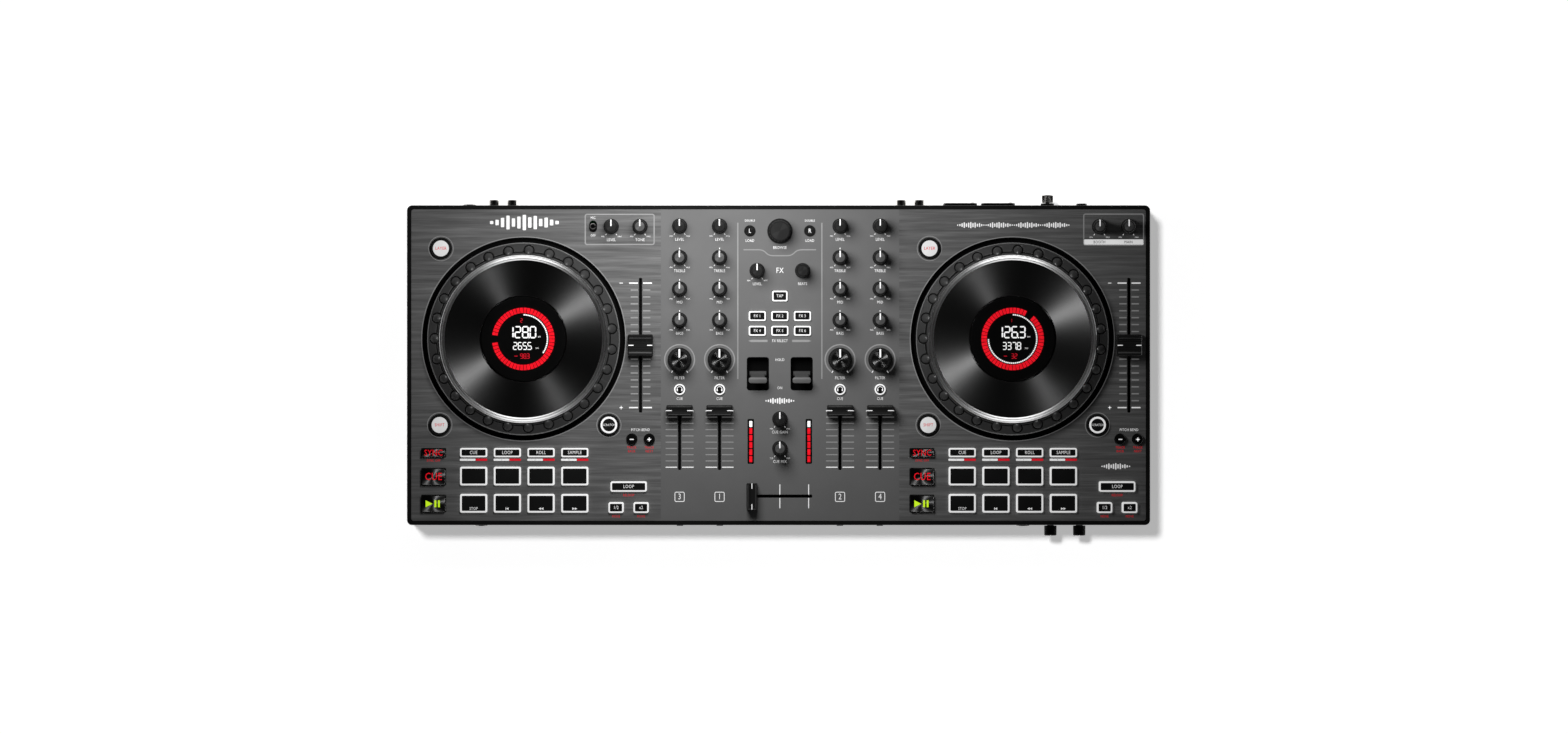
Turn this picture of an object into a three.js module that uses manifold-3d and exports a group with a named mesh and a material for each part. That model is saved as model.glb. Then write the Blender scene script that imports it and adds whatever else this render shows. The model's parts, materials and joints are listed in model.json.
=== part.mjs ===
// DJ controller: two jog decks and a four-channel mixer in a flat case on four feet.
// Millimetres, +X to the right, +Y to the rear, +Z up. The origin is at floor level,
// under the middle of the case.

import * as THREE from 'three';
import { mergeVertices } from 'three/addons/utils/BufferGeometryUtils.js';
import Module from 'manifold-3d';

// ---------------------------------------------------------------- driving dimensions

const GAP = 0.3;                 // running and seating clearance between pieces

// Case, front to rear and floor to top
const CASE_WIDTH = 573;
const CASE_DEPTH = 246.6;
const CORNER_RADIUS = 4;
const WALL = 3;
const FOOT_HEIGHT = 6;
const FOOT_RADIUS = 11;
const FOOT_X = 245;
const FOOT_Y = 92;
const CASE_BOTTOM = FOOT_HEIGHT + GAP;
const CASE_FLOOR = 2.5;
const SPLIT_Z = 42;              // top edge of the bottom case's walls
const SHELL_BOTTOM = SPLIT_Z + GAP;
const RIM_TOP = 50;
const RIM_WIDTH = 2.8;
const LEDGE_TOP = 47.7;
const LEDGE_WIDTH = 2.2;
const PANEL_BOTTOM = LEDGE_TOP + GAP;
const PANEL_THICKNESS = 1.2;
const PANEL_TOP = PANEL_BOTTOM + PANEL_THICKNESS;
const PANEL_CORNER = 2;

// Circuit boards
const BOARD_THICKNESS = 1.6;
const BOARD_Z = 33;
const BOARD_TOP = BOARD_Z + BOARD_THICKNESS;
const BOARD_WIDTH = 552;
const BOARD_DEPTH = 224;
const CONTROL_BODY_TOP = 41;     // top of the potentiometers, encoders and fader tracks
const SOCKET_BOARD_Z = 10.5;
const SOCKET_Z = 26;             // centre height of every rear and front socket
const SOCKET_BODY_BACK = 104;    // socket bodies lie between these distances from the middle line
const SOCKET_BODY_FRONT = 118;
const OUTER_FACE = CASE_DEPTH / 2;
const BOARD_BOSS = { radius: 4, xs: [-262, -93, 93, 262], ys: [-84, 84] };
const SOCKET_BOSS = { radius: 3, xs: [-180, 0, 196], ys: [-105, 100] };

// Deck: everything is placed from the jog's centre
const DECK_Y = 20.2;
const DECK_X = { left: -196.5, right: 180.2 };
const WELL_RADIUS = 77.3;
const WELL_WALL = 2.7;
const WELL_FLOOR_TOP = 45;
const WELL_HOLE_RADIUS = 20;
const PANEL_WELL_RADIUS = 78.2;
const JOG_RADIUS = 74.4;
const JOG_TOP = 60.6;
const DISPLAY_RADIUS = 32.8;
const DISPLAY_TOP = 60.2;
const DISPLAY_THICKNESS = 2.6;
const POST_RADIUS = 16;
const JOG_TRACK = { bottom: 46, cup: 54.5, slopeInner: 58.2, slopeOuter: 52 };   // heights
const PITCH = { x: 90.05, y: -4.9, slotLength: 103.8, slotWidth: 2.4, trackLength: 122 };

// Mixer: everything is placed from the mixer's middle line
const MIXER_X = 1;
const COLUMNS = { 3: -77.3, 1: -46.5, 2: 46.4, 4: 77.3 };
const KNOB_ROWS = { level: 107.2, high: 83, mid: 58.8, low: 34.8 };
const FILTER_Y = 4.3;
const CUE_KEY_Y = -18.7;
const FADER = {
  top: -35, travel: 43.3, slotTop: -32.4, slotBottom: -80.9, slotWidth: 2.3, trackLength: 60,
};
const CROSSFADER = {
  y: -101.1, left: -21.5, slotLeft: -24, slotRight: 25, slotWidth: 2.3, trackLength: 66,
};
const TRACK_WIDTH = 9;
const PADDLE = { x: 16.9, y: -6.7, wellWidth: 17, wellDepth: 25.6, pivotZ: 44, restLean: 20 };
const METER = { x: 22.4, y: -58.9, width: 4.8, depth: 34.5 };
const MIXER_EDGES = [-91, 93];

// Controls
const SHAFT_RADIUS = 3;
const SHAFT_HOLE_RADIUS = 4;
const SMALL_KNOB = { radius: 5.9, height: 14.5 };
const FILTER_KNOB = { radius: 9.2, height: 15 };
const BROWSE_KNOB = { radius: 9.7, height: 14 };
const KNOB_LIFT = 0.6;           // knobs turn this far above the panel
const KNOB_SKIRT = 2;
const STEM = { thickness: 1.4, length: 4, clearance: 0.6 };
const PITCH_CAP = { width: 19.3, depth: 17.1, height: 10.5 };
const FADER_CAP = { width: 20.2, depth: 8.6, height: 10 };
const CAP_CLEARANCE = 1;         // fader caps run this far above the panel
const CAP_TAPER = 1;
const CAP_GROOVE = 1.2;          // depth of the finger groove across a fader cap
const LEVER = { width: 11, thickness: 2.4, length: 14, barrelRadius: 2.2, barrelLength: 13 };
const LEVER_TIP = { width: 14, depth: 4, height: 3.4, centre: 14.6 };
const TOGGLE = { ballRadius: 2.2, neckRadius: 1.4, tipRadius: 2.4, height: 11.6, pivotZ: 45 };
const KEY_CLEARANCE = 0.3;
const PAD_CARRIER = { bottom: 44.5, top: 46 };
const KEY_CARRIER = { bottom: 37, top: 38.5 };
const PAD_TOP = 50.8;
const KEY_TOP = 51.2;

// Sockets, as distances along X from the middle of the case
const REAR = {
  mic: -239.1, aux: -213, booth: 101.8, xlr: [140.3, 169.6], earth: 208, usb: 221.3, power: 234.4,
};
const FRONT = { jacks: [-229.8, 188.9], knobs: [210.3, 232.6] };
const PROUD = 8.5;               // the earth terminal and the front knobs stand this far out
const JACK = { bore: 3.3, barrel: 4.6, hole: 5, nut: 5.15, width: 13, depth: 16 };
const PHONO = { spacing: 14.2, bore: 1.7, barrel: 4.15, hole: 4.6, width: 28, proud: 4.6 };
const XLR = {
  bore: 9.4, barrel: 11.3, hole: 11.7, flangeWidth: 26, flangeHeight: 31, pin: 1.2, pinCircle: 4.6,
};
const EARTH = { stud: 2, hole: 2.6, nut: 4.45 };
const USB = { width: 12, height: 11.4, wall: 1.8, depth: 19.2, clearance: 0.3 };
const POWER = { button: 4.25, hole: 4.7, proud: 1.8 };
const FRONT_KNOB = { radius: 5.05, shaft: 2.6, hole: 3.6 };
const SLIDE_SWITCH = { nubWidth: 5, nubHeight: 2.4, holeWidth: 11, holeHeight: 3.4 };

// Facets round a circle
const COARSE = 6;
const MEDIUM = 10;
const FINE = 16;
const DISPLAY_FACETS = 24;
const JOG_FACETS = 36;

// ---------------------------------------------------------------- solids

const wasm = await Module();
wasm.setup();

function solid(geometry) {
  const bare = geometry.clone();
  bare.deleteAttribute('normal');
  bare.deleteAttribute('uv');
  const merged = mergeVertices(bare, 1e-4);
  const index = merged.index.array;
  const triangles = [];
  for (let i = 0; i < index.length; i += 3) {
    const [a, b, c] = [index[i], index[i + 1], index[i + 2]];
    if (a !== b && b !== c && c !== a) {
      triangles.push(a, b, c);
    }
  }
  return new wasm.Manifold(new wasm.Mesh({
    numProp: 3,
    vertProperties: new Float32Array(merged.attributes.position.array),
    triVerts: new Uint32Array(triangles),
  }));
}

function toGeometry(manifold) {
  const mesh = manifold.getMesh();
  const geometry = new THREE.BufferGeometry();
  geometry.setAttribute('position', new THREE.BufferAttribute(mesh.vertProperties, 3));
  geometry.setIndex(new THREE.BufferAttribute(mesh.triVerts, 1));
  geometry.computeVertexNormals();
  return geometry;
}

function joined(first, ...others) {
  return others.reduce((sum, piece) => sum.add(piece), first);
}

function cut(body, ...tools) {
  return tools.reduce((rest, tool) => rest.subtract(tool), body);
}

// A box from its centre in plan and its bottom and top heights.
function block(x, y, width, depth, bottom, top) {
  const geometry = new THREE.BoxGeometry(width, depth, top - bottom);
  geometry.translate(x, y, (bottom + top) / 2);
  return solid(geometry);
}

function upright(x, y, radius, bottom, top, facets = MEDIUM) {
  const geometry = new THREE.CylinderGeometry(radius, radius, top - bottom, facets);
  geometry.rotateX(Math.PI / 2);
  geometry.translate(x, y, (bottom + top) / 2);
  return solid(geometry);
}

// A cylinder along Y between two distances from the middle line.
function level(x, z, radius, yFrom, yTo, facets = MEDIUM) {
  const geometry = new THREE.CylinderGeometry(radius, radius, yTo - yFrom, facets);
  geometry.translate(x, (yFrom + yTo) / 2, z);
  return solid(geometry);
}

// A solid of revolution about Z. The profile's points are [radius, height] pairs.
function turned(profile, facets) {
  const points = profile.map(([radius, height]) => new THREE.Vector2(radius, height));
  const geometry = new THREE.LatheGeometry(points, facets);
  geometry.rotateX(Math.PI / 2);
  return solid(geometry);
}

function roundedPlate(width, depth, radius, bottom, top) {
  const [w, d] = [width / 2, depth / 2];
  const shape = new THREE.Shape();
  shape.moveTo(-w + radius, -d);
  shape.lineTo(w - radius, -d);
  shape.absarc(w - radius, -d + radius, radius, -Math.PI / 2, 0);
  shape.lineTo(w, d - radius);
  shape.absarc(w - radius, d - radius, radius, 0, Math.PI / 2);
  shape.lineTo(-w + radius, d);
  shape.absarc(-w + radius, d - radius, radius, Math.PI / 2, Math.PI);
  shape.lineTo(-w, -d + radius);
  shape.absarc(-w + radius, -d + radius, radius, Math.PI, Math.PI * 1.5);
  const geometry = new THREE.ExtrudeGeometry(shape, {
    depth: top - bottom, bevelEnabled: false, curveSegments: 3,
  });
  geometry.translate(0, 0, bottom);
  return solid(geometry);
}

// A block whose top is smaller than its base, as key and fader caps are moulded.
function tapered(x, y, width, depth, bottom, top, inset) {
  const geometry = new THREE.BoxGeometry(width, depth, top - bottom);
  const position = geometry.attributes.position;
  for (let i = 0; i < position.count; i += 1) {
    if (position.getZ(i) > 0) {
      position.setX(i, position.getX(i) * (1 - (2 * inset) / width));
      position.setY(i, position.getY(i) * (1 - (2 * inset) / depth));
    }
  }
  geometry.translate(x, y, (bottom + top) / 2);
  return solid(geometry);
}

// ---------------------------------------------------------------- layout

const SIDES = ['left', 'right'];
const CHANNELS = ['3', '1', '2', '4'];

const roundKeys = [
  { x: -63.8, y: 69.8, radius: 8.3 },     // layer
  { x: -64.8, y: -66.3, radius: 8.3 },    // shift
  { x: 65.7, y: -66.3, radius: 8.3 },     // scratch
  { x: 83.3, y: -77.4, radius: 4.35 },    // pitch bend down
  { x: 96.8, y: -77.4, radius: 4.35 },    // pitch bend up
];

const transportKeys = [
  { x: -69.5, y: -87.9, width: 19.2, depth: 7.3 },     // sync
  { x: -69.5, y: -106.3, width: 19.2, depth: 13.4 },   // cue
  { x: -69.5, y: -127, width: 19.2, depth: 13.6 },     // play
];

const loopKeys = [
  { x: 80.9, y: -113.8, width: 28.6, depth: 8.6 },     // loop on
  { x: 71.2, y: -130, width: 12.4, depth: 8.9 },       // half length
  { x: 90.5, y: -130, width: 12.4, depth: 8.9 },       // double length
];

const PAD_SIZE = { width: 21.6, depth: 15.1 };
const MODE_SIZE = { width: 21.6, depth: 7.8 };
const padColumns = [0, 1, 2, 3].map((i) => -38.6 + 26 * i);
const pads = [-105.7, -126.7].flatMap((y) => padColumns.map((x) => ({ x, y, ...PAD_SIZE })));
const modeKeys = padColumns.map((x) => ({ x, y: -87.6, ...MODE_SIZE }));

const effectKeys = [37.9, 26.5].flatMap((y) => [-17.4, 0, 17.4].map(
  (x) => ({ x, y, width: 13.9, depth: 8.3 }),
));
const tapKey = { x: 0, y: 53.3, width: 12.6, depth: 8.9 };
const cueKeys = CHANNELS.map((channel) => ({ x: COLUMNS[channel], y: CUE_KEY_Y, radius: 4.6 }));
const loadKeys = [-23.1, 23.1].map((x) => ({ x, y: 103.5, radius: 4.3 }));

const channelKnobs = CHANNELS.flatMap((channel) => [
  ...Object.entries(KNOB_ROWS).map(([row, y]) => ({
    name: `channel_${channel}_${row}_knob`, x: COLUMNS[channel], y, ...SMALL_KNOB,
  })),
  { name: `channel_${channel}_filter_knob`, x: COLUMNS[channel], y: FILTER_Y, ...FILTER_KNOB },
]);

const centreKnobs = [
  { name: 'browse_encoder', x: 0, y: 103.4, ...BROWSE_KNOB, plain: true },
  { name: 'effect_level_knob', x: -17.5, y: 72.9, ...SMALL_KNOB },
  { name: 'beats_encoder', x: 17.5, y: 72.9, ...SMALL_KNOB, plain: true },
  { name: 'cue_gain_knob', x: 0, y: -41.4, ...SMALL_KNOB },
  { name: 'cue_mix_knob', x: 0, y: -64.1, ...SMALL_KNOB },
];

// Placed from the middle of the case
const cornerKnobs = [
  { name: 'mic_level_knob', x: -129, y: 106.9, ...SMALL_KNOB },
  { name: 'mic_tone_knob', x: -106.8, y: 106.9, ...SMALL_KNOB },
  { name: 'booth_knob', x: 247.4, y: 106.8, ...SMALL_KNOB },
  { name: 'main_knob', x: 269.8, y: 106.8, ...SMALL_KNOB },
];
const MIC_TOGGLE = { x: -143, y: 107, slotWidth: 6, slotDepth: 9 };

const inMixer = (item) => ({ ...item, x: item.x + MIXER_X });
const allKnobs = [...[...channelKnobs, ...centreKnobs].map(inMixer), ...cornerKnobs];
const channelFaders = CHANNELS.map((channel) => ({
  name: `channel_${channel}_fader`, x: COLUMNS[channel] + MIXER_X,
}));

// ---------------------------------------------------------------- materials

function finish(color, roughness, metalness) {
  return new THREE.MeshStandardMaterial({ color, roughness, metalness });
}

const finishes = {
  case: () => finish(0x17181a, 0.6, 0),
  panel: () => finish(0x55575a, 0.42, 0.7),
  board: () => finish(0x1f5a35, 0.6, 0),
  sockets: () => finish(0x2b2d30, 0.4, 0.5),
  display: () => finish(0x050506, 0.1, 0),
  jog: () => finish(0x1c1d1f, 0.35, 0.3),
  cap: () => finish(0x141416, 0.45, 0),
  knob: () => finish(0x121214, 0.5, 0),
  pad: () => finish(0x1a1a1c, 0.7, 0),
  key: () => finish(0x0d0d0f, 0.2, 0),
  paddle: () => finish(0x9a9b9e, 0.4, 0.2),
  toggle: () => finish(0xb8b9bc, 0.25, 0.9),
  rubber: () => finish(0x0b0b0b, 0.9, 0),
};

const controller = new THREE.Group();

function place(group, name, body, material, x = 0, y = 0, z = 0) {
  const mesh = new THREE.Mesh(toGeometry(body), material);
  mesh.name = name;
  mesh.position.set(x, y, z);
  group.add(mesh);
  return mesh;
}

// ---------------------------------------------------------------- case and panel

// The holes in the rear and front walls, each clear of the socket that fills it.
function wallHoles() {
  const inside = OUTER_FACE - WALL - 1;
  const outside = OUTER_FACE + 1;
  const middle = (inside + outside) / 2;
  const through = outside - inside;
  const round = (x, radius, facets) => level(x, SOCKET_Z, radius, inside, outside, facets);
  const usbHeight = USB.height / 2 + USB.clearance;
  const rear = [
    round(REAR.mic, JACK.hole),
    round(REAR.earth, EARTH.hole),
    round(REAR.power, POWER.hole),
    ...REAR.xlr.map((x) => round(x, XLR.hole, FINE)),
    ...[REAR.aux, REAR.booth].flatMap((x) => [
      round(x - PHONO.spacing / 2, PHONO.hole), round(x + PHONO.spacing / 2, PHONO.hole),
    ]),
    block(
      REAR.usb, middle, USB.width + 2 * USB.clearance, through,
      SOCKET_Z - usbHeight, SOCKET_Z + usbHeight,
    ),
  ];
  const front = [
    ...FRONT.jacks.map((x) => round(-x, JACK.hole)),
    ...FRONT.knobs.map((x) => round(-x, FRONT_KNOB.hole)),
    ...CHANNELS.map((channel) => block(
      -(COLUMNS[channel] + MIXER_X), middle, SLIDE_SWITCH.holeWidth, through,
      SOCKET_Z - SLIDE_SWITCH.holeHeight / 2, SOCKET_Z + SLIDE_SWITCH.holeHeight / 2,
    )),
  ].map((hole) => hole.rotate([0, 0, 180]));
  return [...rear, ...front];
}

function bosses({ radius, xs, ys }, top) {
  const bottom = CASE_BOTTOM + CASE_FLOOR - 1;
  return xs.flatMap((x) => ys.map((y) => upright(x, y, radius, bottom, top, COARSE)));
}

function bottomCase() {
  const outer = roundedPlate(CASE_WIDTH, CASE_DEPTH, CORNER_RADIUS, CASE_BOTTOM, SPLIT_Z);
  const hollow = roundedPlate(
    CASE_WIDTH - 2 * WALL, CASE_DEPTH - 2 * WALL, CORNER_RADIUS - WALL,
    CASE_BOTTOM + CASE_FLOOR, SPLIT_Z + 1,
  );
  return joined(
    cut(outer, hollow, ...wallHoles()),
    ...bosses(BOARD_BOSS, BOARD_Z - GAP),
    ...bosses(SOCKET_BOSS, SOCKET_BOARD_Z - GAP),
  );
}

// Rim, seat for the panel, cross bars at the edges of the mixer, and the two jog wells.
function topShell() {
  const outer = roundedPlate(CASE_WIDTH, CASE_DEPTH, CORNER_RADIUS, SHELL_BOTTOM, RIM_TOP);
  const pocket = roundedPlate(
    CASE_WIDTH - 2 * RIM_WIDTH, CASE_DEPTH - 2 * RIM_WIDTH, PANEL_CORNER, LEDGE_TOP, RIM_TOP + 1,
  );
  const inset = 2 * (RIM_WIDTH + LEDGE_WIDTH);
  const opening = block(0, 0, CASE_WIDTH - inset, CASE_DEPTH - inset, SHELL_BOTTOM - 1, RIM_TOP);
  const rib = (x, y, width, depth) => block(x, y, width, depth, SHELL_BOTTOM, LEDGE_TOP);
  const ribs = MIXER_EDGES.map((x) => rib(x, 0, 6, CASE_DEPTH - inset + 1));
  const wells = [];
  for (const side of SIDES) {
    const x = DECK_X[side];
    const radius = WELL_RADIUS + WELL_WALL;
    ribs.push(
      upright(x, DECK_Y, radius, SHELL_BOTTOM, LEDGE_TOP, JOG_FACETS),
      rib(x - 81, DECK_Y, 14, 20),          // to the left
      rib(x + 77, DECK_Y + 56.5, 54, 5),    // to the right, behind the pitch fader
      rib(x, DECK_Y + 86.5, 20, 21),        // to the rear
    );
    wells.push(
      upright(x, DECK_Y, WELL_RADIUS, WELL_FLOOR_TOP, RIM_TOP, JOG_FACETS),
      upright(x, DECK_Y, WELL_HOLE_RADIUS, SHELL_BOTTOM - 1, RIM_TOP, FINE),
    );
  }
  return cut(joined(cut(outer, pocket, opening), ...ribs), ...wells);
}

function panelHole({ x, y, radius, width, depth }, originX, originY) {
  const [bottom, top] = [PANEL_BOTTOM - 1, PANEL_TOP + 1];
  if (radius) {
    return upright(originX + x, originY + y, radius, bottom, top);
  }
  return block(originX + x, originY + y, width, depth, bottom, top);
}

function facePlate() {
  const clearance = 2 * (RIM_WIDTH + GAP);
  const plate = roundedPlate(
    CASE_WIDTH - clearance, CASE_DEPTH - clearance, PANEL_CORNER, PANEL_BOTTOM, PANEL_TOP,
  );
  const holes = [];
  for (const side of SIDES) {
    const x = DECK_X[side];
    const slot = { x: PITCH.x, y: PITCH.y, width: PITCH.slotWidth, depth: PITCH.slotLength };
    holes.push(upright(x, DECK_Y, PANEL_WELL_RADIUS, PANEL_BOTTOM - 1, PANEL_TOP + 1, JOG_FACETS));
    for (const item of [...roundKeys, ...transportKeys, ...loopKeys, ...pads, ...modeKeys, slot]) {
      holes.push(panelHole(item, x, DECK_Y));
    }
  }
  const faderDepth = FADER.slotTop - FADER.slotBottom;
  const faderY = (FADER.slotTop + FADER.slotBottom) / 2;
  const mixerHoles = [
    ...effectKeys, tapKey, ...cueKeys, ...loadKeys,
    ...CHANNELS.map((channel) => ({
      x: COLUMNS[channel], y: faderY, width: FADER.slotWidth, depth: faderDepth,
    })),
    {
      x: (CROSSFADER.slotLeft + CROSSFADER.slotRight) / 2,
      y: CROSSFADER.y,
      width: CROSSFADER.slotRight - CROSSFADER.slotLeft,
      depth: CROSSFADER.slotWidth,
    },
    ...[-1, 1].flatMap((sign) => [
      { x: sign * PADDLE.x, y: PADDLE.y, width: PADDLE.wellWidth, depth: PADDLE.wellDepth },
      { x: sign * METER.x, y: METER.y, width: METER.width, depth: METER.depth },
    ]),
  ];
  for (const item of mixerHoles) {
    holes.push(panelHole(item, MIXER_X, 0));
  }
  for (const knob of allKnobs) {
    holes.push(upright(knob.x, knob.y, SHAFT_HOLE_RADIUS, PANEL_BOTTOM - 1, PANEL_TOP + 1, COARSE));
  }
  const { x, y, slotWidth, slotDepth } = MIC_TOGGLE;
  holes.push(panelHole({ x, y, width: slotWidth, depth: slotDepth }, 0, 0));
  return cut(plate, ...holes);
}

function foot() {
  return turned([
    [0, 0], [FOOT_RADIUS - 1, 0], [FOOT_RADIUS, 1], [FOOT_RADIUS - 1, FOOT_HEIGHT], [0, FOOT_HEIGHT],
  ], FINE);
}

// ---------------------------------------------------------------- boards and sockets

// The main board carries the body of every control that the panel's knobs, faders,
// paddles and meters belong to.
function mainBoard() {
  const board = block(0, 0, BOARD_WIDTH, BOARD_DEPTH, BOARD_Z, BOARD_TOP);
  const xlrMiddle = (REAR.xlr[0] + REAR.xlr[1]) / 2;
  const xlrNotch = block(xlrMiddle, 105, 58, 20, BOARD_Z - 1, BOARD_TOP + 1);
  const rearmost = 105.5;
  const bodies = [];
  const control = (x, y, width, depth, top = CONTROL_BODY_TOP) => {
    bodies.push(block(x, y, width, depth, BOARD_TOP - 1, top));
  };
  for (const knob of allKnobs) {
    control(knob.x, Math.min(knob.y, rearmost), 10, 11);
  }
  for (const fader of channelFaders) {
    control(fader.x, FADER.top - FADER.travel / 2, TRACK_WIDTH, FADER.trackLength);
  }
  control(MIXER_X, CROSSFADER.y, CROSSFADER.trackLength, TRACK_WIDTH);
  for (const side of SIDES) {
    control(DECK_X[side] + PITCH.x, DECK_Y + PITCH.y, TRACK_WIDTH, PITCH.trackLength);
  }
  for (const sign of [-1, 1]) {
    control(MIXER_X + sign * PADDLE.x, PADDLE.y, 14, 12);
    control(MIXER_X + sign * METER.x, METER.y, METER.width - 1, METER.depth - 1, PANEL_TOP - 1);
  }
  control(MIC_TOGGLE.x, rearmost, 9, 9);
  return joined(cut(board, xlrNotch), ...bodies);
}

// The housing of a socket, standing on the socket board.
function housing(x, y, width, depth, top) {
  return block(x, y, width, depth, SOCKET_BOARD_Z + 1, top);
}

function phonoPair(x) {
  const barrels = [];
  const bores = [];
  for (const offset of [-PHONO.spacing / 2, PHONO.spacing / 2]) {
    const at = x + offset;
    barrels.push(level(at, SOCKET_Z, PHONO.barrel, SOCKET_BODY_FRONT - 1, OUTER_FACE + PHONO.proud));
    bores.push(level(at, SOCKET_Z, PHONO.bore, OUTER_FACE - 5, OUTER_FACE + 5, COARSE));
  }
  return cut(joined(housing(x, 111, PHONO.width, 14, SOCKET_Z + 5), ...barrels), ...bores);
}

function jackSocket(x) {
  const barrel = level(x, SOCKET_Z, JACK.barrel, SOCKET_BODY_FRONT - 1, OUTER_FACE + 1);
  const nut = level(x, SOCKET_Z, JACK.nut, OUTER_FACE + GAP, OUTER_FACE + 1.1);
  const bore = level(x, SOCKET_Z, JACK.bore, SOCKET_BODY_BACK, OUTER_FACE + 2, MEDIUM);
  const body = housing(x, 110, JACK.width, JACK.depth, SOCKET_Z + 6);
  return cut(joined(body, barrel, nut), bore);
}

function xlrSocket(x) {
  const half = XLR.flangeHeight / 2;
  const barrel = level(x, SOCKET_Z, XLR.barrel, SOCKET_BODY_BACK, OUTER_FACE + 1, FINE);
  const pedestal = housing(x, 111, 16, 14, SOCKET_Z - 8);
  const flange = block(x, OUTER_FACE + 1.1, XLR.flangeWidth, 1.6, SOCKET_Z - half, SOCKET_Z + half);
  const bore = level(x, SOCKET_Z, XLR.bore, SOCKET_BODY_BACK + 4, OUTER_FACE + 3, FINE);
  const pins = [90, 210, 330].map((degrees) => {
    const angle = THREE.MathUtils.degToRad(degrees);
    return level(
      x + XLR.pinCircle * Math.cos(angle), SOCKET_Z + XLR.pinCircle * Math.sin(angle), XLR.pin,
      SOCKET_BODY_BACK + 3, SOCKET_BODY_BACK + 13, COARSE,
    );
  });
  return joined(cut(joined(barrel, pedestal, flange), bore), ...pins);
}

function earthTerminal(x) {
  const stud = level(x, SOCKET_Z, EARTH.stud, 115, OUTER_FACE + 2, COARSE);
  const nut = level(x, SOCKET_Z, EARTH.nut, OUTER_FACE + 1, OUTER_FACE + PROUD);
  return joined(housing(x, 112, 8, 8, SOCKET_Z + 3), stud, nut);
}

function usbSocket(x) {
  const half = USB.height / 2;
  const hollow = half - USB.wall;
  const shell = block(x, 114, USB.width, USB.depth, SOCKET_Z - half, SOCKET_Z + half);
  const mouth = block(x, 118, USB.width - 3.4, 14, SOCKET_Z - hollow, SOCKET_Z + hollow);
  const tongue = block(x, 113, 5.6, 8, SOCKET_Z - 1.6, SOCKET_Z + 1.6);
  return joined(cut(joined(housing(x, 111, 10, 12, SOCKET_Z - 4), shell), mouth), tongue);
}

function powerButton(x) {
  const button = level(x, SOCKET_Z, POWER.button, 116, OUTER_FACE + POWER.proud);
  return joined(housing(x, 111, 12, 12, SOCKET_Z + 5), button);
}

function slideSwitch(x) {
  const half = SLIDE_SWITCH.nubHeight / 2;
  const nub = block(x, 120, SLIDE_SWITCH.nubWidth, 8.6, SOCKET_Z - half, SOCKET_Z + half);
  return joined(housing(x, 113, 13, 10, SOCKET_Z + 3), nub);
}

function rearJackBoard() {
  const board = block(0, 104, 500, 26, SOCKET_BOARD_Z, SOCKET_BOARD_Z + BOARD_THICKNESS);
  return joined(
    board, jackSocket(REAR.mic), phonoPair(REAR.aux), phonoPair(REAR.booth),
    ...REAR.xlr.map(xlrSocket), earthTerminal(REAR.earth), usbSocket(REAR.usb),
    powerButton(REAR.power),
  );
}

// Built facing the rear and turned half round, so each X is the negative of its place.
function frontJackBoard() {
  const board = block(0, 107, 490, 20, SOCKET_BOARD_Z, SOCKET_BOARD_Z + BOARD_THICKNESS);
  return joined(
    board,
    ...FRONT.jacks.map((x) => jackSocket(-x)),
    ...FRONT.knobs.map((x) => housing(-x, 112, 11, 10, SOCKET_Z + 5)),
    ...CHANNELS.map((channel) => slideSwitch(-(COLUMNS[channel] + MIXER_X))),
  );
}

// ---------------------------------------------------------------- jog decks

// Fixed flange, hollow post and round display. The jog turns round the post.
function jogDisplay() {
  const under = DISPLAY_TOP - DISPLAY_THICKNESS;
  const flangeTop = SHELL_BOTTOM - GAP;
  return turned([
    [9, flangeTop - 2], [WELL_HOLE_RADIUS + 8, flangeTop - 2], [WELL_HOLE_RADIUS + 8, flangeTop],
    [POST_RADIUS, flangeTop], [POST_RADIUS, under], [DISPLAY_RADIUS, under],
    [DISPLAY_RADIUS, DISPLAY_TOP - 0.5], [DISPLAY_RADIUS - 0.5, DISPLAY_TOP], [0, DISPLAY_TOP],
    [0, under], [9, under], [9, flangeTop - 2],
  ], DISPLAY_FACETS);
}

// Skirt, sloping grip ring, raised silver ring, platter disc, and the cup and hub
// that pass under the display.
function jogWheel() {
  const { bottom, cup: floor, slopeInner, slopeOuter } = JOG_TRACK;
  const hub = POST_RADIUS + GAP;
  const cup = DISPLAY_RADIUS + 0.5;
  const skirt = JOG_RADIUS - 2.6;
  return turned([
    [hub, bottom + 0.5], [24, bottom + 0.5], [cup + 2.7, slopeOuter], [cup + 4.7, slopeInner],
    [62, slopeInner], [skirt, slopeOuter], [skirt, bottom], [JOG_RADIUS, bottom],
    [JOG_RADIUS, 54.2], [66.5, 57.8], [64.8, 60.2], [62.2, 61.4], [60.4, JOG_TOP], [cup, JOG_TOP],
    [cup, floor], [hub, floor], [hub, bottom + 0.5],
  ], JOG_FACETS);
}

// A knob with a skirt, tapered grip and raised pointer, on its shaft.
function knobBody({ radius, height, plain }) {
  const base = PANEL_TOP + KNOB_LIFT;
  const top = base + height;
  const body = turned([
    [0, CONTROL_BODY_TOP + GAP], [SHAFT_RADIUS, CONTROL_BODY_TOP + GAP], [SHAFT_RADIUS, base],
    [radius, base], [radius, base + KNOB_SKIRT], [radius * 0.8, top], [0, top],
  ], MEDIUM);
  if (plain) {
    return body;
  }
  return joined(body, block(0, radius * 0.36, 1, radius * 0.6, top - 0.5, top + 0.4));
}

function frontKnob() {
  const face = OUTER_FACE + 0.8;
  const body = joined(
    level(0, 0, FRONT_KNOB.shaft, SOCKET_BODY_FRONT - 0.5, face + 1, COARSE),
    level(0, 0, FRONT_KNOB.radius, face, OUTER_FACE + PROUD),
  );
  const pointer = block(0, OUTER_FACE + PROUD, 1, 2, 0, 6);
  return cut(body, pointer);
}

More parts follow.
